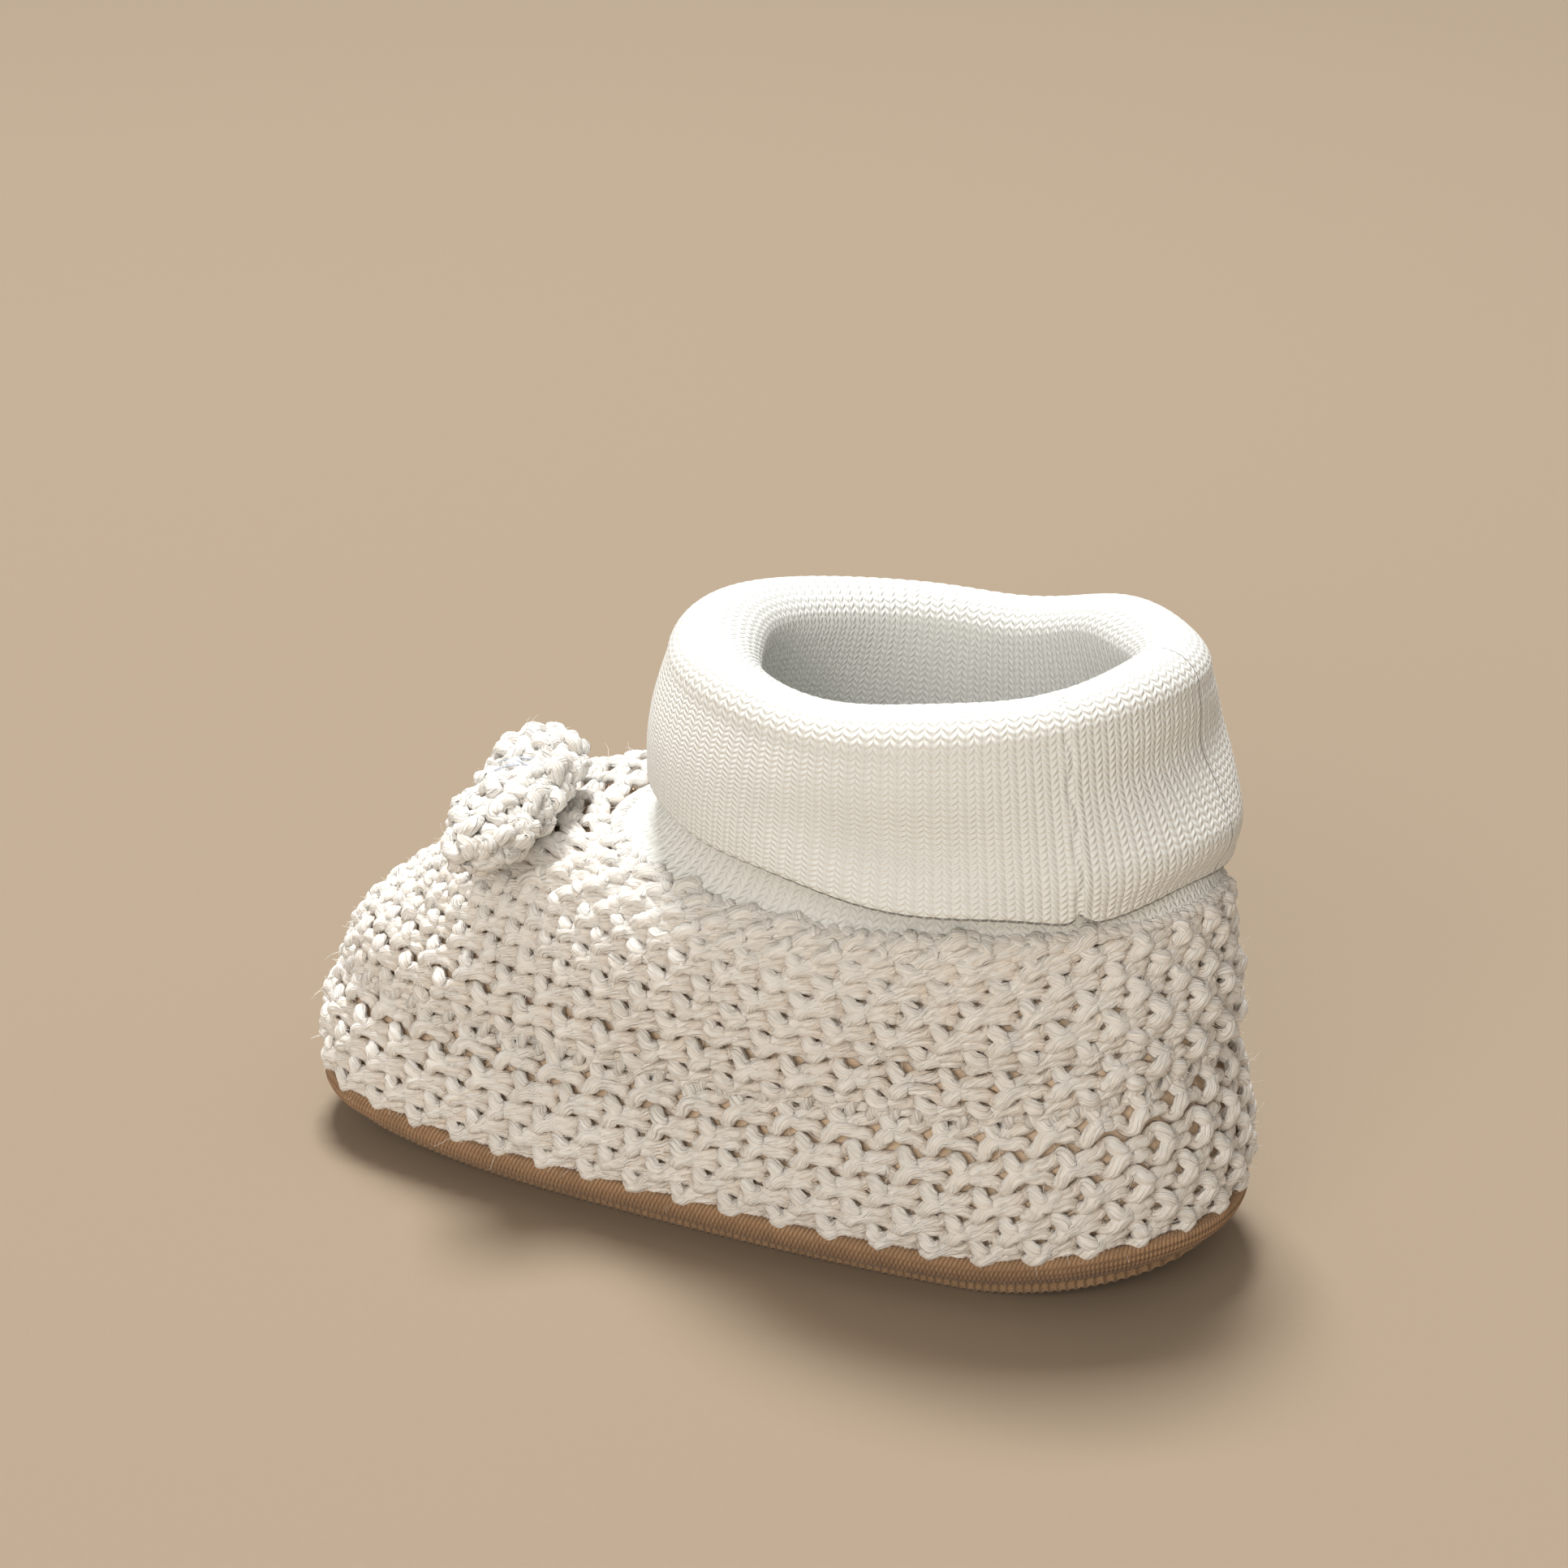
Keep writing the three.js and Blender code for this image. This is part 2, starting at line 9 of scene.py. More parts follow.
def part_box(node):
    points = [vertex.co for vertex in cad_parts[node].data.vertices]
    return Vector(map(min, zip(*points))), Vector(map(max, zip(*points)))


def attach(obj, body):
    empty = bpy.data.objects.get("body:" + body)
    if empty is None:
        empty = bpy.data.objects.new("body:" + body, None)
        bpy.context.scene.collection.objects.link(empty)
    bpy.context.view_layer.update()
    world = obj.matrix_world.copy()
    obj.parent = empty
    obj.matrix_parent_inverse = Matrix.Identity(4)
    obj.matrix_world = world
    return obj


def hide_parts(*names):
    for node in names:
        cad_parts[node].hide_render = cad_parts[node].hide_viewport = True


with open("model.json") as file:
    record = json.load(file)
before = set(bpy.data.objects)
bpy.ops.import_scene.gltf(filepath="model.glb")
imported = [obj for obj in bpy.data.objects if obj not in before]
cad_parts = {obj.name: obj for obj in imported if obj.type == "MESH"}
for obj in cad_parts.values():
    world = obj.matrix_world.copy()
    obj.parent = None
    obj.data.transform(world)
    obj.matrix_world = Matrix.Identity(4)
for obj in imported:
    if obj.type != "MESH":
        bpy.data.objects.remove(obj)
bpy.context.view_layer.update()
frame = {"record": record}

# Baby bootie: padded sole, chunky knit sidewall and upper, jersey turn-up cuff, small knit bow.
# Toe towards -Y, heel towards +Y. Lengths in the dictionaries are millimetres.
mm = 0.001
seed = 27
dice = np.random.default_rng(seed)
turn = 2 * math.pi

viewSet = {
    "stands": (284.6, 158.5, 181.1),
    "looksAt": (-2.55, -1.83, 41.1),
    "lens": 80.8,
    "sensor": 36,
    "clip": (0.01, 20),
}


def stand(thing, at, target):
    # puts a camera or a lamp in its place and turns it to its target
    thing.location = at
    thing.rotation_mode = "QUATERNION"
    thing.rotation_quaternion = (Vector(at) - Vector(target)).to_track_quat("Z", "Y")
    bpy.context.scene.collection.objects.link(thing)


def makeCamera():
    data = bpy.data.cameras.new("bootieCamera")
    data.lens = viewSet["lens"]
    data.sensor_width = viewSet["sensor"]
    data.clip_start, data.clip_end = viewSet["clip"]
    camera = bpy.data.objects.new("bootieCamera", data)
    stand(camera, Vector(viewSet["stands"]) * mm, Vector(viewSet["looksAt"]) * mm)
    bpy.context.scene.camera = camera


# lamps stand in metres
lightSet = {
    "window": {"at": (-0.40, -0.34, 1.80), "size": 0.5, "watts": 45, "colour": (0.985, 0.995, 1.0)},
    "fill": {"at": (1.6, 0.2, 0.75), "size": 1.2, "watts": 16.5, "colour": (1.0, 0.95, 0.88)},
    "roomLight": (1.0, 0.93, 0.84),
    "roomStrength": 0.37,
    "aim": (0, 0, 0.03),
    "floorColour": (0.306, 0.239, 0.171),
    "floorHalf": 4,
    "floorGrain": 0.7,
}


def makeAreaLight(name, at, size, watts, colour):
    data = bpy.data.lights.new(name, "AREA")
    data.shape = "SQUARE"
    data.size = size
    data.energy = watts
    data.color = colour
    stand(bpy.data.objects.new(name, data), at, lightSet["aim"])


def makeStudio():
    makeAreaLight("windowLight", **lightSet["window"])
    makeAreaLight("fillLight", **lightSet["fill"])
    world = bpy.data.worlds.new("room")
    world.use_nodes = True
    sky = world.node_tree.nodes["Background"]
    sky.inputs["Color"].default_value = (*lightSet["roomLight"], 1)
    sky.inputs["Strength"].default_value = lightSet["roomStrength"]
    bpy.context.scene.world = world
    mesh = bpy.data.meshes.new("floor")
    half = lightSet["floorHalf"]
    corners = [(-half, -half, 0), (half, -half, 0), (half, half, 0), (-half, half, 0)]
    mesh.from_pydata(corners, [], [(0, 1, 2, 3)])
    floor = bpy.data.objects.new("floor", mesh)
    bpy.context.scene.collection.objects.link(floor)
    card = Finish("paleCard", lightSet["floorColour"], roughness=0.9)
    card.tint(card.noise(lightSet["floorGrain"], detail=2), 0.002)
    floor.data.materials.append(card.material)
    scene = bpy.context.scene
    scene.view_settings.view_transform = "Standard"
    scene.view_settings.look = "None"


class Finish:
    # a principled material built step by step; lengths in its patterns are millimetres

    def __init__(self, name, colour, roughness=0.8, sheen=0.0, sheenRoughness=0.5, specular=0.3):
        self.material = bpy.data.materials.new(name)
        self.material.use_nodes = True
        self.tree = self.material.node_tree
        self.shader = self.tree.nodes["Principled BSDF"]
        self.colour = colour
        self.shader.inputs["Base Color"].default_value = (*colour, 1)
        self.shader.inputs["Roughness"].default_value = roughness
        self.shader.inputs["Specular IOR Level"].default_value = specular
        self.shader.inputs["Sheen Weight"].default_value = sheen
        self.shader.inputs["Sheen Roughness"].default_value = sheenRoughness
        self.colourOut = None
        self.normalOut = None

    def node(self, kind, **settings):
        made = self.tree.nodes.new(kind)
        for key, value in settings.items():
            setattr(made, key, value)
        return made

    def place(self, uvMap=None, stretch=(1, 1, 1)):
        # object coordinates in millimetres, or a piece's own map, stretched
        if uvMap:
            source = self.node("ShaderNodeUVMap", uv_map=uvMap).outputs["UV"]
            scale = stretch
        else:
            source = self.node("ShaderNodeTexCoord").outputs["Object"]
            scale = [s / mm for s in stretch]
        mapping = self.node("ShaderNodeMapping")
        self.tree.links.new(source, mapping.inputs["Vector"])
        mapping.inputs["Scale"].default_value = scale
        return mapping.outputs["Vector"]

    def noise(self, size, detail=3.0, uvMap=None, stretch=(1, 1, 1), rough=0.55):
        # size is the grain in millimetres
        texture = self.node("ShaderNodeTexNoise")
        texture.inputs["Scale"].default_value = 1
        texture.inputs["Detail"].default_value = detail
        texture.inputs["Roughness"].default_value = rough
        place = self.place(uvMap, [s / size for s in stretch])
        self.tree.links.new(place, texture.inputs["Vector"])
        return texture.outputs["Fac"]

    def maths(self, operation, a, b=None, c=None):
        made = self.node("ShaderNodeMath", operation=operation)
        for socket, value in zip(made.inputs, (a, b, c)):
            if value is None:
                continue
            if isinstance(value, (int, float)):
                socket.default_value = value
            else:
                self.tree.links.new(value, socket)
        return made.outputs[0]

    def firstOf(self, uvMap):
        # the first of the two coordinates of a piece's own map
        split = self.node("ShaderNodeSeparateXYZ")
        self.tree.links.new(self.place(uvMap), split.inputs[0])
        return split.outputs[0]

    def wave(self, turns, shape="SINE"):
        # 0 to 1 and back once for each unit of turns
        swing = self.maths(shape, self.maths("MULTIPLY", turns, turn))
        return self.maths("MULTIPLY_ADD", swing, 0.5, 0.5)

    def blendTo(self, factor, colour, most=1.0, start=0.0, end=1.0):
        # mixes another colour in where factor goes from start to end
        ramp = self.node("ShaderNodeMapRange")
        ramp.inputs["From Min"].default_value = start
        ramp.inputs["From Max"].default_value = end
        ramp.inputs["To Max"].default_value = most
        self.tree.links.new(factor, ramp.inputs["Value"])
        blend = self.node("ShaderNodeMix", data_type="RGBA")
        self.tree.links.new(ramp.outputs[0], blend.inputs[0])
        before = self.colourOut
        if before is None:
            blend.inputs[6].default_value = (*self.colour, 1)
        else:
            self.tree.links.new(before, blend.inputs[6])
        blend.inputs[7].default_value = (*colour, 1)
        self.colourOut = blend.outputs[2]
        self.tree.links.new(self.colourOut, self.shader.inputs["Base Color"])

    def tint(self, factor, most):
        # lighter and darker by a share of the colour
        self.blendTo(factor, [min(1, c * (1 + 4 * most)) for c in self.colour], start=0.45, end=0.75)
        self.blendTo(factor, [c * (1 - 4 * most) for c in self.colour], start=0.55, end=0.25)

    def bump(self, height, depth, strength=1.0):
        # depth is in millimetres
        made = self.node("ShaderNodeBump")
        made.inputs["Strength"].default_value = strength
        made.inputs["Distance"].default_value = depth * mm
        self.tree.links.new(height, made.inputs["Height"])
        if self.normalOut is not None:
            self.tree.links.new(self.normalOut, made.inputs["Normal"])
        self.normalOut = made.outputs["Normal"]
        self.tree.links.new(self.normalOut, self.shader.inputs["Normal"])


yarnLook = {
    "strands": (5.5, 0.5, 1),
    "fibres": (20, 1.6, 1),
    "cloud": 2.6,
    # a darker warmer share of the colour, painted shade for the grooves between the strands and fibres
    "shade": (0.93, 0.87, 0.80),
    # painted shade for the hollows between the stitches, and the depth over which it comes in
    "hollow": (0.78, 0.60, 0.43),
    "hollowRun": 1.1,
    "strandRelief": 0.35,
    "fibreRelief": 0.16,
}


def yarnFinish(name, colour, hollowFrom):
    # soft spun wool: strands and fine fibres along the yarn, cloudy patches, with painted shade in the
    # grooves between strands and fibres and in the hollows between stitches
    s = yarnLook
    made = Finish(name, colour, roughness=0.9, sheen=0.35, sheenRoughness=0.4, specular=0.2)
    strands = made.noise(1, detail=1, uvMap="yarnLines", stretch=s["strands"])
    fibres = made.noise(1, detail=3, uvMap="yarnLines", stretch=s["fibres"])
    made.tint(made.noise(s["cloud"]), 0.008)
    # painted shade: darker and warmer in the grooves between the strands and between the fibres
    shade = [c * share for c, share in zip(colour, s["shade"])]
    made.blendTo(strands, shade, most=0.8, start=0.52, end=0.32)
    made.blendTo(fibres, shade, most=0.6, start=0.5, end=0.3)
    # painted shade: the hollows between the stitches are darker and warmer, where the yarn lies deep below
    # the surface
    depth = made.firstOf("yarnDepth")
    made.blendTo(depth, s["hollow"], most=0.85, start=hollowFrom, end=hollowFrom + s["hollowRun"])
    made.bump(strands, s["strandRelief"])
    made.bump(fibres, s["fibreRelief"])
    return made.material


jerseyWales = 106
jerseyLook = {"legPower": 0.9, "slant": 1.5, "wobble": 0.5, "gapShade": 0.86, "relief": 0.17, "lint": 0.25}


def jerseyFinish(name, colour):
    # fine jersey: in each wale two columns of slanted threads make a row of small v's, with painted shade
    # between the threads
    s = jerseyLook
    made = Finish(name, colour, roughness=0.6, sheen=0.3, sheenRoughness=0.4, specular=0.35)
    split = made.node("ShaderNodeSeparateXYZ")
    made.tree.links.new(made.place("jerseyMap"), split.inputs[0])
    across = made.maths("FRACT", split.outputs[0])
    fromMiddle = made.maths("ABSOLUTE", made.maths("SUBTRACT", across, 0.5))
    leg = made.maths("SINE", made.maths("MULTIPLY", fromMiddle, turn))
    leg = made.maths("POWER", made.maths("ABSOLUTE", leg), s["legPower"])
    wobble = made.maths("MULTIPLY", made.noise(1.4, detail=2), s["wobble"])
    slant = made.maths("MULTIPLY_ADD", fromMiddle, s["slant"], split.outputs[1])
    thread = made.wave(made.maths("ADD", slant, wobble))
    height = made.maths("MULTIPLY", leg, made.maths("MULTIPLY_ADD", thread, 0.8, 0.2))
    made.tint(made.noise(5, detail=4), 0.006)
    # painted shade: darker where the threads lie low between the legs of the v's
    made.blendTo(height, [c * s["gapShade"] for c in colour], most=0.8, start=0.5, end=0.0)
    made.bump(height, s["relief"])
    made.bump(made.noise(s["lint"]), 0.02)
    return made.material


ribLook = {"grooveShade": 0.35, "threadDark": 0.72, "threadSize": 0.28, "relief": 0.12}


def ribFinish(name, colour, run):
    # cut cotton rib: soft lint over ribs that are in the mesh, with finer threads across them and painted
    # shade in the grooves between the ribs
    s = ribLook
    made = Finish(name, colour, roughness=0.95, sheen=0.15, sheenRoughness=0.5, specular=0.15)
    made.tint(made.noise(3, detail=4), 0.03)
    # painted shade: darker in the grooves between the ribs
    crest = made.wave(made.firstOf("ribLines"), "COSINE")
    made.blendTo(crest, [c * s["grooveShade"] for c in colour], most=0.8, start=0.5, end=0.0)
    threads = made.noise(s["threadSize"], detail=2, stretch=run)
    made.blendTo(threads, [c * s["threadDark"] for c in colour], most=0.8, start=0.5, end=0.3)
    made.bump(threads, s["relief"])
    return made.material


def plainFinish(name, colour, cloud, amount, relief, detail=3.0, **settings):
    # cloth with no pattern of its own: a cloudy tint and a fine grain
    made = Finish(name, colour, **settings)
    made.tint(made.noise(cloud, detail), amount)
    made.bump(made.noise(0.5), relief)
    return made.material


def makePiece(name, points, faces, finish, slot, body="shoe", maps=None, node=None):
    # points in millimetres; maps is {map name: one uv for each point}; node is what it replaces
    mesh = bpy.data.meshes.new(name)
    points = np.asarray(points, dtype=np.float64).reshape(-1, 3)
    faces = np.asarray(faces, dtype=np.int32).reshape(-1, 4)
    corner = [points[faces[:, k]] for k in range(4)]
    twist = np.cross(corner[1], corner[2]) + np.cross(corner[2], corner[3])
    if np.einsum("ij,ij->", corner[0], twist) < 0:  # every piece is a closed body, faces outwards
        faces = faces[:, ::-1]
    points = points.astype(np.float32) * np.float32(mm)
    mesh.vertices.add(len(points))
    mesh.vertices.foreach_set("co", points.ravel())
    mesh.loops.add(faces.size)
    mesh.loops.foreach_set("vertex_index", faces.ravel())
    mesh.polygons.add(len(faces))
    mesh.polygons.foreach_set("loop_start", np.arange(0, faces.size, 4, dtype=np.int32))
    mesh.polygons.foreach_set("use_smooth", np.full(len(faces), True))
    mesh.update(calc_edges=True)
    mesh.validate()
    for mapName, uv in (maps or {}).items():
        layer = mesh.uv_layers.new(name=mapName)
        layer.data.foreach_set("uv", np.asarray(uv, dtype=np.float32).reshape(-1, 2)[faces.ravel()].ravel())
    mesh.materials.append(finish)
    piece = bpy.data.objects.new(name, mesh)
    bpy.context.scene.collection.objects.link(piece)
    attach(piece, body)
    if node:
        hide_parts(node)
    return piece


def unit(vectors):
    return vectors / np.maximum(np.linalg.norm(vectors, axis=-1, keepdims=True), 1e-9)


def gridFaces(rows, columns, wrapRows=False, wrapColumns=False):
    # quads over a grid of points stored row by row
    r = np.arange(rows if wrapRows else rows - 1)
    c = np.arange(columns if wrapColumns else columns - 1)
    r, c = np.meshgrid(r, c, indexing="ij")
    r2, c2 = (r + 1) % rows, (c + 1) % columns
    corners = (r * columns + c, r * columns + c2, r2 * columns + c2, r2 * columns + c)
    return np.stack(corners, axis=-1).reshape(-1, 4)


def ringCap(ring):
    # quads that close a ring of points
    last = len(ring) - 1
    half = len(ring) // 2
    return np.array([(ring[k], ring[k + 1], ring[last - 1 - k], ring[last - k]) for k in range(half - 1)])


lineScale = 3  # units round a yarn in its own map, and millimetres along it to one unit


def sweepYarn(path, out, yarn, closed):
    # a spun yarn along a path: plies wound round each other, flattened a little along out;
    # gives a strand, which is its points, their places in the yarn's own map, and closed
    if closed:
        ahead = unit(np.roll(path, -1, axis=0) - np.roll(path, 1, axis=0))
    else:
        ahead = unit(np.gradient(path, axis=0))
    side = unit(np.cross(ahead, out))
    up = np.cross(side, ahead)
    step = np.linalg.norm(np.diff(path, axis=0, prepend=path[:1]), axis=1)
    along = np.cumsum(step)
    sides = yarn["sides"]
    angle = np.arange(sides) * turn / sides
    wound = angle[None, :] - (turn * along / yarn["pitch"])[:, None]
    groove = 1 - np.abs(np.cos(wound * yarn["plies"] / 2))
    radius = yarn["radius"] * (1 - yarn["groove"] * groove ** 2)
    if "swell" in yarn:
        radius = radius * yarn["swell"][:, None]
    across = (radius * np.cos(angle))[:, :, None] * side[:, None, :]
    high = (radius * np.sin(angle) * yarn["flat"])[:, :, None] * up[:, None, :]
    points = path[:, None, :] + across + high
    lines = np.broadcast_arrays(wound / turn * lineScale, along[:, None] / lineScale, 0)
    return points, np.stack(lines, axis=-1), closed


def yarnPiece(name, strands, finish, slot, body="shoe", node=None):
    # joins strands into one mesh
    allPoints, allFaces, allLines, first = [], [], [], 0
    for points, lines, closed in strands:
        rows, columns = points.shape[:2]
        allPoints.append(points.reshape(-1, 3))
        allLines.append(lines.reshape(-1, 3))
        allFaces.append(gridFaces(rows, columns, wrapRows=closed, wrapColumns=True) + first)
        if not closed:
            for row in (0, rows - 1):
                ring = first + row * columns + np.arange(columns)
                allFaces.append(ringCap(ring if row else ring[::-1]))
        first += rows * columns
    lines = np.concatenate(allLines)
    faces = np.concatenate(allFaces)[:, ::-1]
    maps = {"yarnLines": lines[:, :2], "yarnDepth": lines[:, [2, 2]]}
    return makePiece(name, np.concatenate(allPoints), faces, finish, slot, body, maps, node)


shoeShape = {
    "length": 102,
    "heelRadius": 18.1,
    "toeRadius": 22.6,
    "toeFlat": 9.8,
    "toeEase": 0.1,
    "waistBlend": 4,
    "toeSpring": 1.4,
    "toeSpringStart": 0.45,
    "heelSpring": 3.6,
    "heelSpringStart": 0.55,
}


def smoothStep(t):
    t = np.clip(t, 0, 1)
    return t * t * (3 - 2 * t)


def mix(a, b, t):
    return a + (b - a) * t


def forward(u):
    return (1 - np.cos(turn * u)) / 2  # 0 at the heel, 1 at the toe


def reach(angle):
    # how far the outline reaches in a direction, 0 being the heel
    s = shoeShape
    half = s["length"] / 2
    side = np.hypot(np.sin(angle), s["toeEase"]) - s["toeEase"]
    heel = s["heelRadius"] + (half - s["heelRadius"]) * np.cos(angle)
    toeReach = half - s["toeRadius"] + s["toeFlat"]
    toe = s["toeRadius"] - s["toeFlat"] + s["toeFlat"] * side - toeReach * np.cos(angle)
    most = np.maximum(heel, toe)
    blend = s["waistBlend"]
    return most + blend * np.log(np.exp((heel - most) / blend) + np.exp((toe - most) / blend))


# the outline as points at equal angles, with the way out at each
outlineSteps = 1440
tinyAngle = 1e-4
outlineAngle = np.linspace(0, turn, outlineSteps + 1)
outlineReach = reach(outlineAngle)
outlineSlope = (reach(outlineAngle + tinyAngle) - reach(outlineAngle - tinyAngle)) / (2 * tinyAngle)
outlineOut = np.stack([np.sin(outlineAngle), np.cos(outlineAngle)], axis=1)
outlineTurned = np.stack([np.cos(outlineAngle), -np.sin(outlineAngle)], axis=1)
outlineLine = outlineReach[:, None] * outlineOut + outlineSlope[:, None] * outlineTurned
outlineAlong = np.concatenate([[0], np.cumsum(np.linalg.norm(np.diff(outlineLine, axis=0), axis=1))])
outlineLength = outlineAlong[-1]


def outlinePoint(u, grow):
    # x and y at a share u of the way round from the heel, grown by a distance
    along = np.mod(u, 1) * outlineLength
    x, y, nx, ny = (
        np.interp(along, outlineAlong, values)
        for values in (outlineLine[:, 0], outlineLine[:, 1], outlineOut[:, 0], outlineOut[:, 1])
    )
    return x + grow * nx, y + grow * ny


def springAt(y):
    # the sole lifts off the floor a little under the toe and at the back of the heel
    s = shoeShape
    half = s["length"] / 2
    toe = smoothStep((-y / half - s["toeSpringStart"]) / (1 - s["toeSpringStart"]))
    heel = smoothStep((y / half - s["heelSpringStart"]) / (1 - s["heelSpringStart"]))
    return s["toeSpring"] * toe + s["heelSpring"] * heel


# the outer surface of the knit: foot at the rand, ridge over it, then up to the topline
knitShape = {
    "foot": 4.9,
    "footInset": 0.5,
    "swell": -0.2,
    "fullest": 0.45,
    "heelHeight": 16,
    "toeHeight": 14.3,
    "ridgeInset": 2.8,
    "ridgeSag": 2.8,
    "toplineCentre": 17,
    "toplineHalfWidth": 17.4,
    "toplineHalfLength": 30.5,
    "toplineHeel": 41.2,
    "toplineInstep": 39.4,
    "toplineDip": 2.4,
    "quarterSwell": 2.1,
    "instepSwell": 5.2,
    "swellRise": 1.15,
    "lean": (0.6, 0.45, 0.1, 0.87),
    "seamPlace": 0.03,
}


def stack(x, y, z):
    return np.stack(np.broadcast_arrays(x, y, z), axis=-1)


def footPoint(u):
    x, y = outlinePoint(u, -knitShape["footInset"])
    return stack(x, y, knitShape["foot"] + springAt(y))


def ridgePoint(u):
    s = knitShape
    x, y = outlinePoint(u, -s["ridgeInset"])
    height = mix(s["heelHeight"], s["toeHeight"], smoothStep(forward(u)))
    return stack(x, y, footPoint(u)[..., 2] + height - s["ridgeSag"] * np.sin(turn * u) ** 2)


def toplinePoint(u):
    s = knitShape
    sine = np.sin(turn * u)
    height = mix(s["toplineHeel"], s["toplineInstep"], forward(u)) - s["toplineDip"] * sine ** 2
    y = s["toplineCentre"] + s["toplineHalfLength"] * np.cos(turn * u)
    return stack(s["toplineHalfWidth"] * sine, y, height)


def knitPoint(u, v):
    # u runs round from the heel, v from the rand (0) over the ridge (1) to the topline (2)
    s = knitShape
    u, v = np.broadcast_arrays(np.asarray(u, float), np.asarray(v, float))
    foot, ridge, top = footPoint(u), ridgePoint(u), toplinePoint(u)
    x, y = outlinePoint(u, s["swell"])
    middle = stack(x, y, mix(foot[..., 2], ridge[..., 2], s["fullest"]))
    control = 2 * middle - (foot + ridge) / 2
    w = np.minimum(v, 1)[..., None]
    low = (1 - w) ** 2 * foot + 2 * w * (1 - w) * control + w * w * ridge
    t = np.maximum(v - 1, 0)
    rise = t ** s["swellRise"]
    swell = 4 * rise * (1 - rise) * mix(s["quarterSwell"], s["instepSwell"], smoothStep(forward(u)))
    aside, back, lift, instepLift = s["lean"]
    lean = stack(aside * np.sin(turn * u), back * np.cos(turn * u), lift + instepLift * forward(u))
    high = mix(ridge, top, t[..., None]) + lean * swell[..., None]
    return np.where((v <= 1)[..., None], low, high)


def knitNormal(u, v):
    du, dv = 0.004, 0.06
    along = knitPoint(u + du, v) - knitPoint(u - du, v)
    up = knitPoint(u, np.minimum(2, v + dv)) - knitPoint(u, np.maximum(0, v - dv))
    return unit(np.cross(up, along))


def roundCurve(line, detail, period):
    # Catmull-Rom through the keys of a closed course, detail steps between two keys
    ahead = np.roll(line, -1, axis=0)
    ahead[-1, 0] += period
    behind = np.roll(line, 1, axis=0)
    behind[0, 0] -= period
    second = np.roll(ahead, -1, axis=0)
    second[-1, 0] += period
    t = (np.arange(detail) / detail)[None, :, None]
    a, b, c, d = (p[:, None, :] for p in (behind, line, ahead, second))
    curve = b + 0.5 * t * (c - a + t * (2 * a - 5 * b + 4 * c - d + t * (3 * (b - c) + d - a)))
    return curve.reshape(-1, 3)


# how thick the yarn is where it lies low and where it stands out
outRange, thickRange = (-0.4, 0.8), (0.88, 1.08)


def knitRow(surface, row, stitches, fabric, closed=True):
    # surface(across, up) gives points and outward normals, across running 0 to 1 and up counted
    # in rows. A row is two yarns that lie side by side between the knots and part after each
    # knot, one up over the row above as an ear and one down as a tail. The knots of the next
    # row stand half a stitch on.
    strands = []
    stitch = np.arange(stitches)
    for keys in fabric["yarns"]:
        keys = np.array(keys, float)
        across = stitch[:, None] + keys[None, :, 0] + 0.5 * (row % 2)
        up = row + 0.5 + np.broadcast_to(keys[None, :, 1], across.shape)
        out = np.broadcast_to(keys[None, :, 2], across.shape)
        jitter = dice.normal(0, 1, (3, *across.shape)) * np.array(fabric["uneven"])[:, None, None]
        line = np.stack([across + jitter[0], up + jitter[1], out + jitter[2]], axis=-1)
        line = roundCurve(line.reshape(-1, 3), fabric["detail"], stitches)
        point, normal = surface(line[:, 0] / stitches, line[:, 1])
        path = point + normal * (line[:, 2] - fabric["depth"])[:, None]
        thick = np.interp(line[:, 2], outRange, thickRange)
        yarn = dict(fabric["yarn"], swell=thick * (1 + dice.normal(0, 0.03, len(line))))
        strand = sweepYarn(path, normal, yarn, closed)
        strand[1][..., 2] = ((point[:, None] - strand[0]) * normal[:, None]).sum(axis=-1)
        strands.append(strand)
    return strands


woolYarn = {"radius": 0.80, "sides": 12, "plies": 4, "pitch": 12, "groove": 0.26, "flat": 0.85}

mossKnit = {
    "yarns": [  # along in stitches, up in rows, out in millimetres
        [(0.00, 0.17, 0.10), (0.14, 0.17, 0.15), (0.28, 0.14, 0.28), (0.40, 0.07, 0.50),
         (0.50, 0.11, 0.80), (0.58, 0.24, 0.86), (0.66, 0.38, 0.55), (0.73, 0.39, 0.10),
         (0.81, 0.28, -0.10), (0.90, 0.20, 0.00)],
        [(0.00, -0.19, 0.12), (0.14, -0.18, 0.20), (0.28, -0.14, 0.32), (0.40, -0.08, 0.62),
         (0.50, -0.11, 0.92), (0.59, -0.25, 0.78), (0.68, -0.40, 0.42), (0.77, -0.44, 0.05),
         (0.86, -0.33, -0.15), (0.93, -0.24, 0.00)],
    ],
    "depth": 1.6,
    "uneven": (0.012, 0.014, 0.05),
    "detail": 3,
    "yarn": woolYarn,
}

knitLook = {
    "colour": (0.975, 0.96, 0.93),
    # where the painted shade in the hollows between the stitches begins, in millimetres below the surface
    "hollowFrom": 0.75,
    # painted shade: colour of the skin seen through the holes between the stitches
    "backShadeColour": (0.74, 0.57, 0.41),
    "backDepth": 1.9,
    "fuzz": (1.2, 2.6),
}
sidewallSet = {"stitches": 48, "rows": 5, "foot": -0.03, "head": 1.02, "lumps": 0.6}
upperSet = {
    "stitches": 48,
    "rows": 7,
    "rowHeight": 3.2,
    "stitchWidth": 5.0,
    "gather": 0.094,
    "overlap": 0.25,
    "edge": 2.01,
    "neckCut": (0.09, 0.39, 0.11),
}

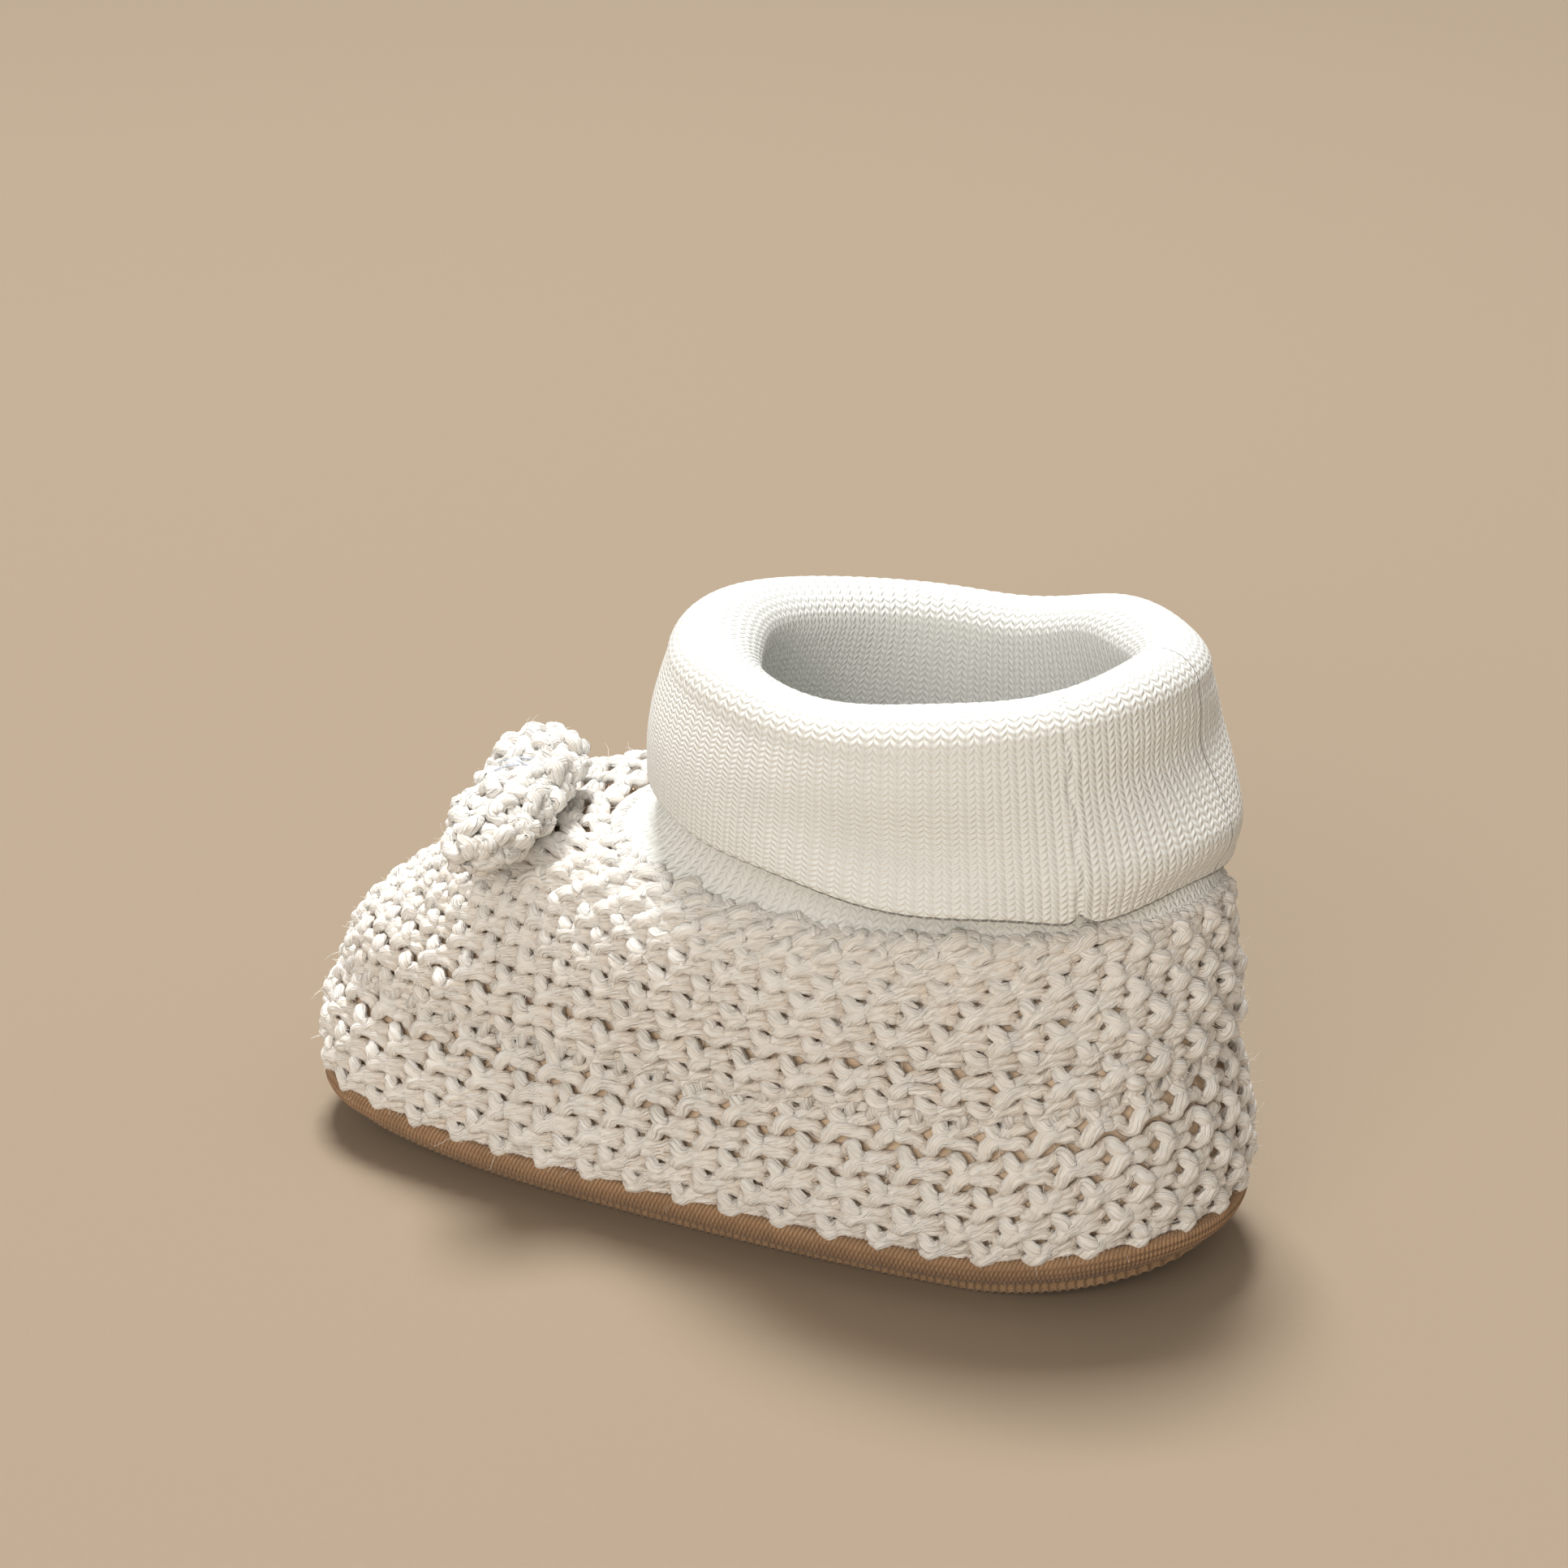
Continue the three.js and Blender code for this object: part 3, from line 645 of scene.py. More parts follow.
# soft folds in the cloth: how far out, at which v, how wide
clothFolds = {
    "sidewallTuck": (-0.35, 1, 0.08),
    "ridgeRoll": (1.1, 1.11, 0.08),
    "ridgeTuck": (-0.35, 1, 0.03),
    "heelSag": (0.8, 1.42, 0.11),
    "heelCrease": (-0.5, 1.25, 0.05),
    "heelDent": (-0.8, 1.66, 0.14),
    "pucker": (0.45, 1.18, 0.16),
}


def bell(x, height, place, width):
    # a height at a place, falling away over a width
    return height * np.exp(-((x - place) / width) ** 2)


def near(u, place, width):
    # 1 at a place round the shoe, falling away over a width
    return np.exp(-(((u - place + 0.5) % 1 - 0.5) / width) ** 2)


def fold(v, name):
    return bell(v, *clothFolds[name])


def lumps(u, v):
    # slow unevenness of the hand of the cloth, deepest low on the quarters
    wave = np.sin(turn * (5 * u + 0.7 * v)) * np.sin(turn * (1.3 * v - 2 * u))
    pucker = np.sin(turn * (13 * u + 0.5)) * fold(v, "pucker")
    return 0.35 * wave + pucker * forward(u) * (1 - forward(u)) * 4


def sidewallSurface(across, up):
    s = sidewallSet
    v = mix(s["foot"], s["head"], up / s["rows"])
    normal = knitNormal(across, v)
    tuck = fold(v, "sidewallTuck") + lumps(across, v) * np.clip(v, 0, 1) * s["lumps"]
    return knitPoint(across, v) + normal * tuck[:, None], normal


def panelLength(u):
    # from the ridge up to the topline
    points = knitPoint(u[:, None], np.linspace(1, 2, 25)[None, :])
    return np.linalg.norm(np.diff(points, axis=1), axis=2).sum(axis=1)


# the rows that fit between ridge and topline: the instep is longer, so it has more
panelPlaces = np.linspace(0, 1, 241)
toeAt = len(panelPlaces) // 2
panelRows = panelLength(panelPlaces) / upperSet["rowHeight"] - upperSet["rows"]
panelRows = upperSet["rows"] + np.log1p(np.exp(2 * panelRows)) / 2


def rowsAt(u):
    return np.interp(np.mod(u, 1), panelPlaces, panelRows)


def topEdge(u):
    # where the knit ends: beside the instep it leaves a band of jersey bare under the cuff
    cut, place, width = upperSet["neckCut"]
    return upperSet["edge"] - cut * near(u, place, width)


def upperFace(u, v):
    normal = knitNormal(u, v)
    roll = fold(v, "ridgeRoll") + fold(v, "ridgeTuck")
    # the heel's cloth sags into soft rolls with a dent above them
    roll = roll + near(u, 0.10, 0.11) * (fold(v, "heelSag") + fold(v, "heelCrease"))
    roll = roll + near(u, 0.04, 0.09) * fold(v, "heelDent")
    roll = roll + lumps(u, v) * np.clip(2 - v, 0, 1)
    return knitPoint(u, v) + normal * roll[:, None], normal


def upperSurface(across, up):
    # the stitches lean together towards the instep
    v = 1 + up / rowsAt(across)
    u = across + upperSet["gather"] * np.clip(v - 1, 0, 1) * np.sin(turn * across)
    return upperFace(u, np.minimum(1 + (up - upperSet["overlap"]) / rowsAt(u), topEdge(u)))


def instepRow(row):
    # a short row across the instep, from topline to topline: its surface and its stitches
    half = panelPlaces[:toeAt + 1]
    start = np.interp(row + 0.2, panelRows[:toeAt + 1] * (topEdge(half) - 1), half)
    u = np.linspace(start, 1 - start, 201)
    line = knitPoint(u, 1 + (row + 0.5 - upperSet["overlap"]) / rowsAt(u))
    along = np.concatenate([[0], np.cumsum(np.linalg.norm(np.diff(line, axis=0), axis=1))])

    def surface(across, up):
        place = np.interp(across * along[-1], along, u)
        v = 1 + (up - upperSet["overlap"]) / rowsAt(place)
        return upperFace(place, np.minimum(v, topEdge(place)))
    return surface, int(round(along[-1] / upperSet["stitchWidth"]))


fibre = {"radius": 0.028, "taper": 0.6, "steps": 5, "sides": 4, "curl": 0.6}


def makeFuzz(name, strands, count, length, finish, slot, body="shoe"):
    # loose fibres: fine closed tubes that stand off the yarns and curl
    surface = np.concatenate([points.reshape(-1, 3) for points, _, _ in strands])
    middle = [np.repeat(points.mean(axis=1), points.shape[1], axis=0) for points, _, _ in strands]
    middle = np.concatenate(middle)
    steps, sides = fibre["steps"], fibre["sides"]
    pick = dice.integers(0, len(surface), count)
    root = surface[pick]
    away = unit(unit(root - middle[pick]) + dice.normal(0, 0.7, (count, 3)))
    curl = unit(dice.normal(0, 1, (count, 3)))
    reachOut = dice.uniform(*length, count)[:, None, None]
    bend = dice.uniform(0.3, 1.0, (count, 1, 1)) * fibre["curl"]
    t = np.linspace(0, 1, steps)[None, :, None]
    line = away[:, None] * (t - 0.1) * (1 - 0.4 * t) + curl[:, None] * bend * t ** 2
    path = root[:, None] + reachOut * line
    side = unit(np.cross(away, curl))
    over = unit(np.cross(away, side))
    angle = (np.arange(sides) * turn / sides)[None, :, None]
    ring = side[:, None] * np.cos(angle) + over[:, None] * np.sin(angle)
    thin = fibre["radius"] * (1 - fibre["taper"] * t[..., None])
    points = path[:, :, None] + thin * ring[:, None]
    first, last = np.arange(sides)[::-1], np.arange(sides) + (steps - 1) * sides
    tube = np.concatenate([gridFaces(steps, sides, wrapColumns=True), [first, last]])
    faces = tube[None] + steps * sides * np.arange(count)[:, None, None]
    lines = np.zeros((points.size // 3, 2))
    makePiece(name, points, faces, finish, slot, body, {"yarnLines": lines, "yarnDepth": lines})


def splitStrands(strands, parts):
    return [strands[k * len(strands) // parts:(k + 1) * len(strands) // parts] for k in range(parts)]


def twoFaces(point, normal, depths, columns, rows):
    # a closed skin between two depths behind a surface
    outer, inner = ((point - normal * depth).reshape(columns, rows, 3) for depth in depths)
    grid = np.concatenate([outer, inner[:, ::-1]], axis=1)
    return grid, gridFaces(columns, 2 * rows, wrapRows=True, wrapColumns=True)


def makeBacking(name, surface, height, finish, rows=14, columns=180, thick=0.4):
    # a thin skin behind the stitches, in a darker warm colour: painted shade for the deeper yarn seen
    # through the holes
    depth = knitLook["backDepth"]
    across = np.arange(columns) / columns
    up = np.linspace(0.01, 0.99, rows) * height
    u, v = np.meshgrid(across, up, indexing="ij")
    point, normal = surface(u.ravel(), v.ravel())
    grid, faces = twoFaces(point, normal, (depth, depth + thick), columns, rows)
    makePiece(name, grid, faces, finish, "knit_yarn")


edgeCord = {
    "turns": 62,
    "steps": 900,
    "below": 0.03,
    "rise": 0.012,
    "out": 0.35,
    "depth": 1.35,
    "radius": 0.62,
}


def castOff():
    # two yarns wound round each other along the topline
    s = edgeCord
    strands = []
    u = np.arange(s["steps"]) / s["steps"]
    for start in (0, 0.5):
        wind = turn * (s["turns"] * u + start)
        point, normal = upperFace(u, topEdge(u) - s["below"] + s["rise"] * np.sin(wind))
        path = point + normal * (s["out"] * np.cos(wind) - s["depth"])[:, None]
        strands.append(sweepYarn(path, normal, dict(woolYarn, radius=s["radius"]), closed=True))
    return strands


def upperBack(u, up):
    # from the ridge to just under the knit's top edge
    return upperFace(u, 1 + up * (topEdge(u) - 1.02))


def makeKnit():
    s = knitLook
    wool = yarnFinish("creamWool", s["colour"], s["hollowFrom"])
    # painted shade: the backing behind the stitches is a darker warm brown standing in for yarn in shadow
    back = plainFinish("woolBackingShade", s["backShadeColour"], 1.2, 0.03, 0.2, roughness=1.0, specular=0.1)
    sidewall = []
    for row in range(sidewallSet["rows"]):
        sidewall += knitRow(sidewallSurface, row, sidewallSet["stitches"], mossKnit)
    upper = []
    for row in range(upperSet["rows"]):
        upper += knitRow(upperSurface, row, upperSet["stitches"], mossKnit)
    for row in range(upperSet["rows"], int(panelRows[toeAt] * (topEdge(0.5) - 1))):
        surface, stitches = instepRow(row)
        upper += knitRow(surface, row, stitches, mossKnit, closed=False)
    upper += castOff()
    panels = (("sidewallKnit", sidewall, "knit_sidewall"), ("upperKnit", upper, "knit_upper"))
    for base, strands, node in panels:
        for k, part in enumerate(splitStrands(strands, 3)):
            yarnPiece(f"{base}.{k + 1}", part, wool, "knit_yarn", node=node)
    makeBacking("sidewallKnitBack", sidewallSurface, sidewallSet["rows"], back)
    makeBacking("upperKnitBack", upperBack, 1, back)
    makeFuzz("sidewallFuzz", sidewall, 2600, s["fuzz"], wool, "knit_yarn")
    makeFuzz("upperFuzz", upper, 3600, s["fuzz"], wool, "knit_yarn")
    print("knitted")
    return wool


# the turn-up cuff
cuffShape = {
    "centre": 16.3,
    "halfWidth": 20.8,
    "halfLength": 27.5,
    "heelTop": 64.4,
    "instepTop": 61.6,
    "sideDip": 2.8,
    "heelFoot": 42.4,
    "instepFoot": 44.9,
    "flare": 2.8,
    "drift": 0.8,
    "cloth": 1.9,
    "fold": 7,
    "neckSeat": 2.2,
    "footSeat": 0.9,
    "seamPlace": 0.115,
    "seamWidth": 0.0016,
    "seamDepth": 0.4,
    "waleRelief": 0.07,
    "courseHeight": 0.76,
    "rimWaves": ((1.5, 0.845, 0.055), (-0.4, 0.75, 0.04), (-0.4, 0.42, 0.05)),
    "rollWaves": ((0.42, 0.5, 0.12), (0.22, 0.89, 0.07)),
    "waist": ((0.9, 0.74, 0.14), (-1.5, 0.30, 0.18), (-1.5, 1, 0.12)),
    "waistPlace": (0.03, 0.075),
    "dimple": (-0.9, 0.6, 0.25),
    "dimplePlace": (0.2, 0.07),
    "flat": (0.150, 0.048),
    "colour": (0.885, 0.895, 0.865),
}


def cuffPoint(u, grow, heel, instep, dip):
    s = cuffShape
    sine, cosine = np.sin(turn * u), np.cos(turn * u)
    x = (s["halfWidth"] + grow) * sine
    y = s["centre"] + (s["halfLength"] + grow) * cosine
    return stack(x, y, mix(heel, instep, forward(u)) - dip * sine ** 2)


def waves(u, heights):
    # soft rises and dips round the rim
    return sum(height * near(u, place, width) for height, place, width in heights)


def outwards(u):
    return stack(np.sin(turn * u), np.cos(turn * u), 0 * u)


def foldPoint(u, grow, drop):
    s = cuffShape
    point = cuffPoint(u, grow, s["heelTop"] - drop, s["instepTop"] - drop, s["sideDip"])
    point[..., 2] += waves(u, s["rimWaves"])
    return point


def turnUpPoint(u, t, depth):
    s = cuffShape
    t = np.asarray(t)
    foot = cuffPoint(u, s["flare"] - depth, s["heelFoot"], s["instepFoot"], 0)
    foot[..., 1] += s["drift"]
    wave = 0.35 * np.sin(turn * 3 * u + 1) + 0.25 * np.sin(turn * 8 * u)
    foot[..., 2] += wave + 0.8 * near(u, s["seamPlace"], 0.006) - 0.5 * near(u, s["seamPlace"], 0.03)
    belly = np.sin(math.pi * t) * (0.5 + 0.3 * np.sin(turn * 2 * u + 2))
    # at the back the cloth is drawn in below the roll and springs out again at its corner
    waist = near(u, *s["waistPlace"]) * sum(bell(t, *part) for part in s["waist"])
    dimple = near(u, *s["dimplePlace"]) * bell(t, *s["dimple"])
    point = mix(foldPoint(u, -depth, s["fold"] / 2), foot, t[..., None])
    return point + (belly + waist + dimple)[..., None] * outwards(u)


def rollWidth(u):
    # the roll is fuller over the instep and where the cloth is pushed in at the back
    return 1 + waves(u, cuffShape["rollWaves"]) + 0.05 * np.sin(turn * 5 * u + 1)


def neckPoint(u, t, depth):
    # from the roll down, then out over the knit's edge, as a bend between three points
    s, k = cuffShape, knitShape
    t = np.asarray(t)
    grow = -s["neckSeat"] - depth
    x = (k["toplineHalfWidth"] + grow) * np.sin(turn * u)
    y = k["toplineCentre"] + (k["toplineHalfLength"] + grow) * np.cos(turn * u)
    bend = stack(x, y, toplinePoint(u)[..., 2] + 0.6)
    edge = topEdge(u) - 0.02
    foot = knitPoint(u, edge) - knitNormal(u, edge) * (s["footSeat"] + depth * 0.8)
    top = foldPoint(u, s["cloth"] - s["fold"] * rollWidth(u) - depth, s["fold"] / 2)
    crease = np.sin(math.pi * t) * 0.4 * np.sin(turn * 4 * u + 2)
    w = t[..., None]
    line = (1 - w) ** 2 * top + 2 * w * (1 - w) * bend + w * w * foot
    return line - crease[..., None] * outwards(u)


def cuffFoldRows(u, radius, rows, start, end):
    # the roll over the top, as an arc from the turn-up's side to the neck's
    half = cuffShape["fold"] / 2
    lift = 0.25 * np.sin(turn * 6 * u + 0.6) * near(u, 0.25, 0.2)
    points = []
    for angle in np.linspace(start, end, rows):
        inward = half + (rollWidth(u) - 1) * half * (1 - math.cos(angle))
        drop = half - (radius + lift) * math.sin(angle)
        points.append(foldPoint(u, radius * math.cos(angle) - inward, drop))
    return points


def makeCuff():
    s = cuffShape
    columns = jerseyWales * 8
    u = np.arange(columns) / columns
    cloth, half = s["cloth"], s["fold"] / 2
    ones = np.ones(columns)
    rim = [mix(0, cloth, (1 - math.cos(a)) / 2) for a in np.linspace(0, math.pi, 5)[1:-1]]
    rows = [turnUpPoint(u, t * ones, 0) for t in np.linspace(0.985, 0, 36)]
    rows += cuffFoldRows(u, half, 16, 0, math.pi)[1:]
    rows += [neckPoint(u, t * ones, cloth) for t in np.linspace(0, 1, 26)[1:]]
    rows += [neckPoint(u, t * ones, 0) for t in np.linspace(1, 0, 26)]
    rows += cuffFoldRows(u, half - cloth, 7, math.pi, 0)[1:-1]
    rows += [turnUpPoint(u, t * ones, cloth) for t in np.linspace(0, 0.985, 10)]
    rows += [turnUpPoint(u, (1 + 0.015 * math.sin(math.pi * d / cloth)) * ones, d) for d in reversed(rim)]
    grid = np.stack(rows, axis=1)
    ahead = np.roll(grid, -1, axis=0) - np.roll(grid, 1, axis=0)
    up = np.roll(grid, -1, axis=1) - np.roll(grid, 1, axis=1)
    out = unit(np.cross(ahead, up))
    if out[0, 10, 1] < 0:  # outwards at the heel
        out = -out
    ridges = np.abs(np.cos(math.pi * jerseyWales * u)) ** 0.8 - 0.5
    height = s["waleRelief"] * ridges[:, None]
    wander = s["seamPlace"] + s["seamWidth"] * np.sin(np.arange(grid.shape[1]) * 0.55)
    gap = (u[:, None] - wander[None, :]) % 1
    gap = np.minimum(gap, 1 - gap)
    height = height - bell(gap, s["seamDepth"], 0, s["seamWidth"]) + bell(gap, 0.10, 0, 0.006)
    grid = grid + out * height[..., None]
    along = np.linalg.norm(np.diff(grid[0], axis=0, prepend=grid[0][:1]), axis=1).cumsum()
    waleShare = u * jerseyWales + 0.5
    jersey = np.stack(np.broadcast_arrays(waleShare[:, None], along[None, :] / s["courseHeight"]), axis=-1)
    faces = gridFaces(*grid.shape[:2], wrapRows=True, wrapColumns=True)
    finish = jerseyFinish("whiteJersey", s["colour"])
    maps = {"jerseyMap": jersey}
    cuff = makePiece("turnUpCuff", grid, faces, finish, "jersey", maps=maps, node="ankle_cuff")
    print("cuff folded")
    return finish


liningSet = {
    "depth": 3.4,
    "thick": 0.7,
    "from": 0.22,
    "to": 1.85,
    "crease": 0.12,
    "coursesPerRow": 1.6,
    "flat": (0.225, 0.040),
    "area": 0.0066,
}


def makeLining(finish):
    s = liningSet
    columns, rows = 240, 30
    u = np.arange(columns) / columns
    v = np.linspace(s["from"], s["to"], rows)
    uu, vv = (a.ravel() for a in np.meshgrid(u, v, indexing="ij"))
    normal = knitNormal(uu, vv)
    crease = s["crease"] * np.sin(turn * 21 * uu) * np.sin(math.pi * vv)
    point = knitPoint(uu, vv) - normal * crease[:, None]
    grid, quads = twoFaces(point, normal, (s["depth"], s["depth"] + s["thick"]), columns, rows)
    up = np.concatenate([np.arange(rows), np.arange(rows)[::-1]]) * s["coursesPerRow"]
    jersey = np.stack(np.broadcast_arrays(u[:, None] * jerseyWales, up[None, :]), axis=-1)
    maps = {"jerseyMap": jersey}
    lining = makePiece("upperLining", grid, quads, finish, "jersey", maps=maps, node="upper_lining")
    print("lining in")


# the sole: a rand round its edge, an outsole under it, and pads inside
randShape = {
    "top": 4.6,
    "height": 3.1,
    "thick": 1,
    "inset": 5.1,
    "ribs": 560,
    "relief": 0.16,
    "slant": 1.1,
    # the curve up the outside: how far in, and how high over the foot
    "edge": ((4.2, 0.02), (3.3, 0.15), (2.4, 0.5), (1.6, 1.1),
             (1.0, 1.8), (0.7, 2.5), (0.7, 3.4), (1.1, 3.9)),
    "colour": (0.40, 0.25, 0.145),
}


def makeRand():
    s = randShape
    foot = s["top"] - s["height"]
    edge = [(s["inset"], foot)] + [(inset, foot + rise) for inset, rise in s["edge"]]
    inside = [(1.1 + s["thick"], s["top"] + 0.4), (2.8, foot + 1.7), (s["inset"], foot + s["thick"])]
    columns = s["ribs"] * 4
    u = np.arange(columns) / columns
    rows, lines = [], []
    for k, (inset, height) in enumerate(edge + inside):
        shown = k < len(edge)
        rib = s["relief"] * np.cos(turn * (s["ribs"] * u + s["slant"] * height)) * shown
        x, y = outlinePoint(u, -inset + rib + 0.2 * np.sin(turn * 7 * u) * shown)
        rows.append(stack(x, y, height + springAt(y) - 0.5 * rib))
        lines.append(stack(s["ribs"] * u + s["slant"] * height, k * 0.1, 0)[..., :2])
    grid, lines = np.stack(rows, axis=1), np.stack(lines, axis=1)
    finish = ribFinish("tanRib", s["colour"], (1, 1, 0.35))
    faces = gridFaces(*grid.shape[:2], True, True)
    makePiece("soleRand", grid, faces, finish, "sole_fabric", maps={"ribLines": lines}, node="sole_rand")


outsoleShape = {
    "thick": 1.9,
    "inset": 3.7,
    "ribPitch": 0.8,
    "relief": 0.25,
    "edge": (0.35, 0.85, 1.35),
    "end": 0.9995,
    "colour": (0.40, 0.255, 0.145),
}


def halfWidthAt(y, inset):
    # half the sole's width at places along it
    u = np.linspace(0, 0.5, 721)
    x, along = outlinePoint(u, -inset)
    x[0] = x[-1] = 0
    return np.interp(y, along[::-1], x[::-1])


def makeOutsole():
    s = outsoleShape
    end = shoeShape["length"] / 2 - s["inset"]
    count = int(2 * end / s["ribPitch"]) * 4
    share = np.linspace(-1, 1, count)
    y = mix(np.sin(share * math.pi / 2), share, 0.75 * (1 - share ** 8)) * end * s["end"]
    half = np.maximum(halfWidthAt(y, s["inset"]), 0.05)
    rib = (1 - np.cos(turn * y / s["ribPitch"])) / 2
    under = np.linspace(-1, 1, 15) * 0.97
    sides = [(half - s["relief"] * rib - 0.3 * abs(z - s["edge"][1]), z) for z in s["edge"]]
    rows = [stack(half * t, y, 0.03 + s["relief"] * rib) for t in under]
    rows += [stack(side, y, z) for side, z in sides]
    rows += [stack(half * t, y, s["thick"]) for t in under[::-1]]
    rows += [stack(-side, y, z) for side, z in reversed(sides)]
    grid = np.stack(rows, axis=1)
    grid[..., 2] += springAt(grid[..., 1])
    faces = gridFaces(*grid.shape[:2], wrapColumns=True)
    ring = grid.shape[1]
    for first, order in ((0, 1), ((count - 1) * ring, -1)):
        faces = np.concatenate([faces, ringCap(first + np.arange(ring)[::order])])
    finish = ribFinish("tanOutsole", s["colour"], (0.35, 1, 1))
    lines = np.broadcast_to((y / s["ribPitch"] + 0.5)[:, None], grid.shape[:2])
    lines = np.stack([lines, lines * 0], axis=-1)
    makePiece("ribbedOutsole", grid, faces, finish, "sole_fabric", maps={"ribLines": lines}, node="outsole")


padSet = {
    "insole": {"inset": 5.0, "foot": 6.3, "thick": 1.3, "crown": 0.9, "colour": (0.85, 0.84, 0.79)},
    "padding": {"inset": 5.6, "foot": 2.3, "thick": 3.1, "crown": 0.2, "colour": (0.82, 0.80, 0.75)},
}


padShares = (0.9, 0.75, 0.55, 0.35, 0.18, 0.06)  # rings of a pad's top, as shares of its outline


def makePad(name, node, slot, inset, foot, thick, crown, colour):
    # a soft slab in the outline's shape with a rounded edge and a crowned top
    columns = 240
    u = np.arange(columns) / columns
    rows = []
    for angle in np.linspace(-math.pi / 2, math.pi / 2, 9):
        shrink = inset + thick / 2 * (1 - math.cos(angle))
        x, y = outlinePoint(u, -shrink)
        rows.append(stack(x, y, foot + thick / 2 * (1 + math.sin(angle))))
    edgeX, edgeY = outlinePoint(u, -inset - thick / 2)
    under = [stack(edgeX * t, edgeY * t, foot) for t in reversed(padShares)]
    over = []
    for t in padShares:
        height = foot + thick + crown * (1 - t ** 4) + 0.15 * np.sin(turn * 3 * u) * t
        over.append(stack(edgeX * t, edgeY * t, height))
    grid = np.stack(under + rows + over, axis=1)
    grid[..., 2] += springAt(grid[..., 1])
    last = grid.shape[1]
    faces = gridFaces(columns, last, wrapRows=True)
    ring = np.arange(columns) * last
    faces = np.concatenate([faces, ringCap(ring), ringCap((ring + last - 1)[::-1])])
    finish = plainFinish(name + "Cloth", colour, 3, 0.02, 0.15, detail=4, roughness=0.9, sheen=0.3,
                         specular=0.2)
    pad = makePiece(name, grid, faces, finish, slot, node=node)


def makeSole():
    makeRand()
    makeOutsole()
    makePad("insolePad", "insole", "jersey", **padSet["insole"])
    makePad("solePadding", "sole_padding", "wadding", **padSet["padding"])
    print("sole built")


seamYarn = {"radius": 0.6, "sides": 10, "plies": 3, "pitch": 5, "groove": 0.25, "flat": 1.0}
seamThread = {"radius": 0.16, "sides": 6, "plies": 2, "pitch": 1.2, "groove": 0.2, "flat": 1.0}
seamSet = {
    "ridge": {"stitches": 110, "high": 0.8, "deep": 0.5, "yarn": seamYarn},
    "topline": {"stitches": 110, "high": 0.4, "deep": 0.3, "yarn": seamThread},
    "sole": {"stitches": 150, "high": 0.4, "deep": 0.3, "yarn": seamThread},
    "back": {"width": 1.1, "count": 9, "depth": 2.8},
    "cuff": {"width": 0.9, "count": 10},
}


def overcast(name, node, finish, place, stitches, high, deep, yarn, steps=10):
    # one yarn wound round a seam: place(u) gives its line and the direction out of the cloth
    u = np.arange(stitches * steps) / (stitches * steps)
    line, out = place(u)
    ahead = unit(np.roll(line, -1, axis=0) - np.roll(line, 1, axis=0))
    up = np.cross(out, ahead)
    angle = turn * stitches * u
    path = line + out * (deep * np.cos(angle))[:, None] + up * (high * np.sin(angle))[:, None]
    strand = sweepYarn(path, unit(path - line + out * 0.01), yarn, closed=True)
    yarnPiece(name, [strand], finish, "knit_yarn", node=node)


def zigzag(name, node, slot, finish, points, out, width, count):
    # stitches across the allowance of a straight seam
    t = np.linspace(0, 1, count * 8 + 1)
    line = np.stack([np.interp(t, np.linspace(0, 1, len(points)), points[:, k]) for k in range(3)], axis=1)
    ahead = unit(np.gradient(line, axis=0))
    side = unit(np.cross(ahead, out))
    wave = np.sin(turn * count * t / 2)
    path = line + side * (width * wave)[:, None] + out * (0.25 * np.cos(turn * count * t))[:, None]
    strand = sweepYarn(path, np.broadcast_to(out, path.shape), seamThread, closed=False)
    yarnPiece(name, [strand], finish, slot, node=node)


def makeSeams(wool, jersey):
    back, cuff = seamSet["back"], seamSet["cuff"]

    def onKnit(v, depth):
        def place(u):
            normal = knitNormal(u, v)
            return knitPoint(u, v) - normal * depth, normal
        return place

    def onSole(u):
        x, y = outlinePoint(u, -4.0)
        nx, ny = outlinePoint(u, -3.0)
        out = unit(stack(nx - x, ny - y, 0 * u))
        return stack(x, y, 5.2 + springAt(y)), out

    overcast("ridgeSeam", "ridge_seam", wool, onKnit(1.0, 1.45), **seamSet["ridge"])
    overcast("toplineSeam", "topline_seam", wool, onKnit(1.965, 2.8), **seamSet["topline"])
    overcast("soleSeam", "sole_seam", wool, onSole, **seamSet["sole"])
    v = np.linspace(1.12, 1.8, 7)
    u = np.full(7, knitShape["seamPlace"])
    normal = knitNormal(u, v)
    middle = knitPoint(u, v) - normal * back["depth"]
    out = unit(normal.mean(axis=0))
    zigzag("backSeam", "back_seam", "knit_yarn", wool, middle, out, back["width"], back["count"])
    t = np.linspace(0.12, 0.68, 6)
    u = np.full(6, cuffShape["seamPlace"])
    middle = (turnUpPoint(u, t, cuffShape["cloth"]) + neckPoint(u, t, 0)) / 2
    out = outwards(u)[0]
    zigzag("cuffSeam", "cuff_seam", "jersey", jersey, middle, out, cuff["width"], cuff["count"])
    print("seams sewn")


bowShape = {
    "half": 10.6,
    "deep": 5.2,
    "thick": 4.2,
    "lift": 0.3,
    "under": 0.68,
    "waistDeep": 4.5,
    "waistThick": 3.4,
    "waistWidth": 2.6,
    "twist": 4,
    "tilt": 1,
    "sink": 1.2,
    "hang": -1.9,
    "stitches": 6,
    "rows": 8,
    "colour": (0.965, 0.95, 0.92),
    # where the painted shade in the bow's hollows begins, in millimetres below the surface
    "hollowFrom": 0.3,
    "coreDepth": 1.3,
    "wrapPlaces": (-1.0, 0.0, 1.0),
    "wrapRadius": 0.55,
}

bowKnit = {
    "yarns": mossKnit["yarns"],
    "depth": 0.8,
    "uneven": (0.04, 0.06, 0.22),
    "detail": 3,
    "yarn": {"radius": 0.86, "sides": 12, "plies": 4, "pitch": 9, "groove": 0.26, "flat": 0.9},
}


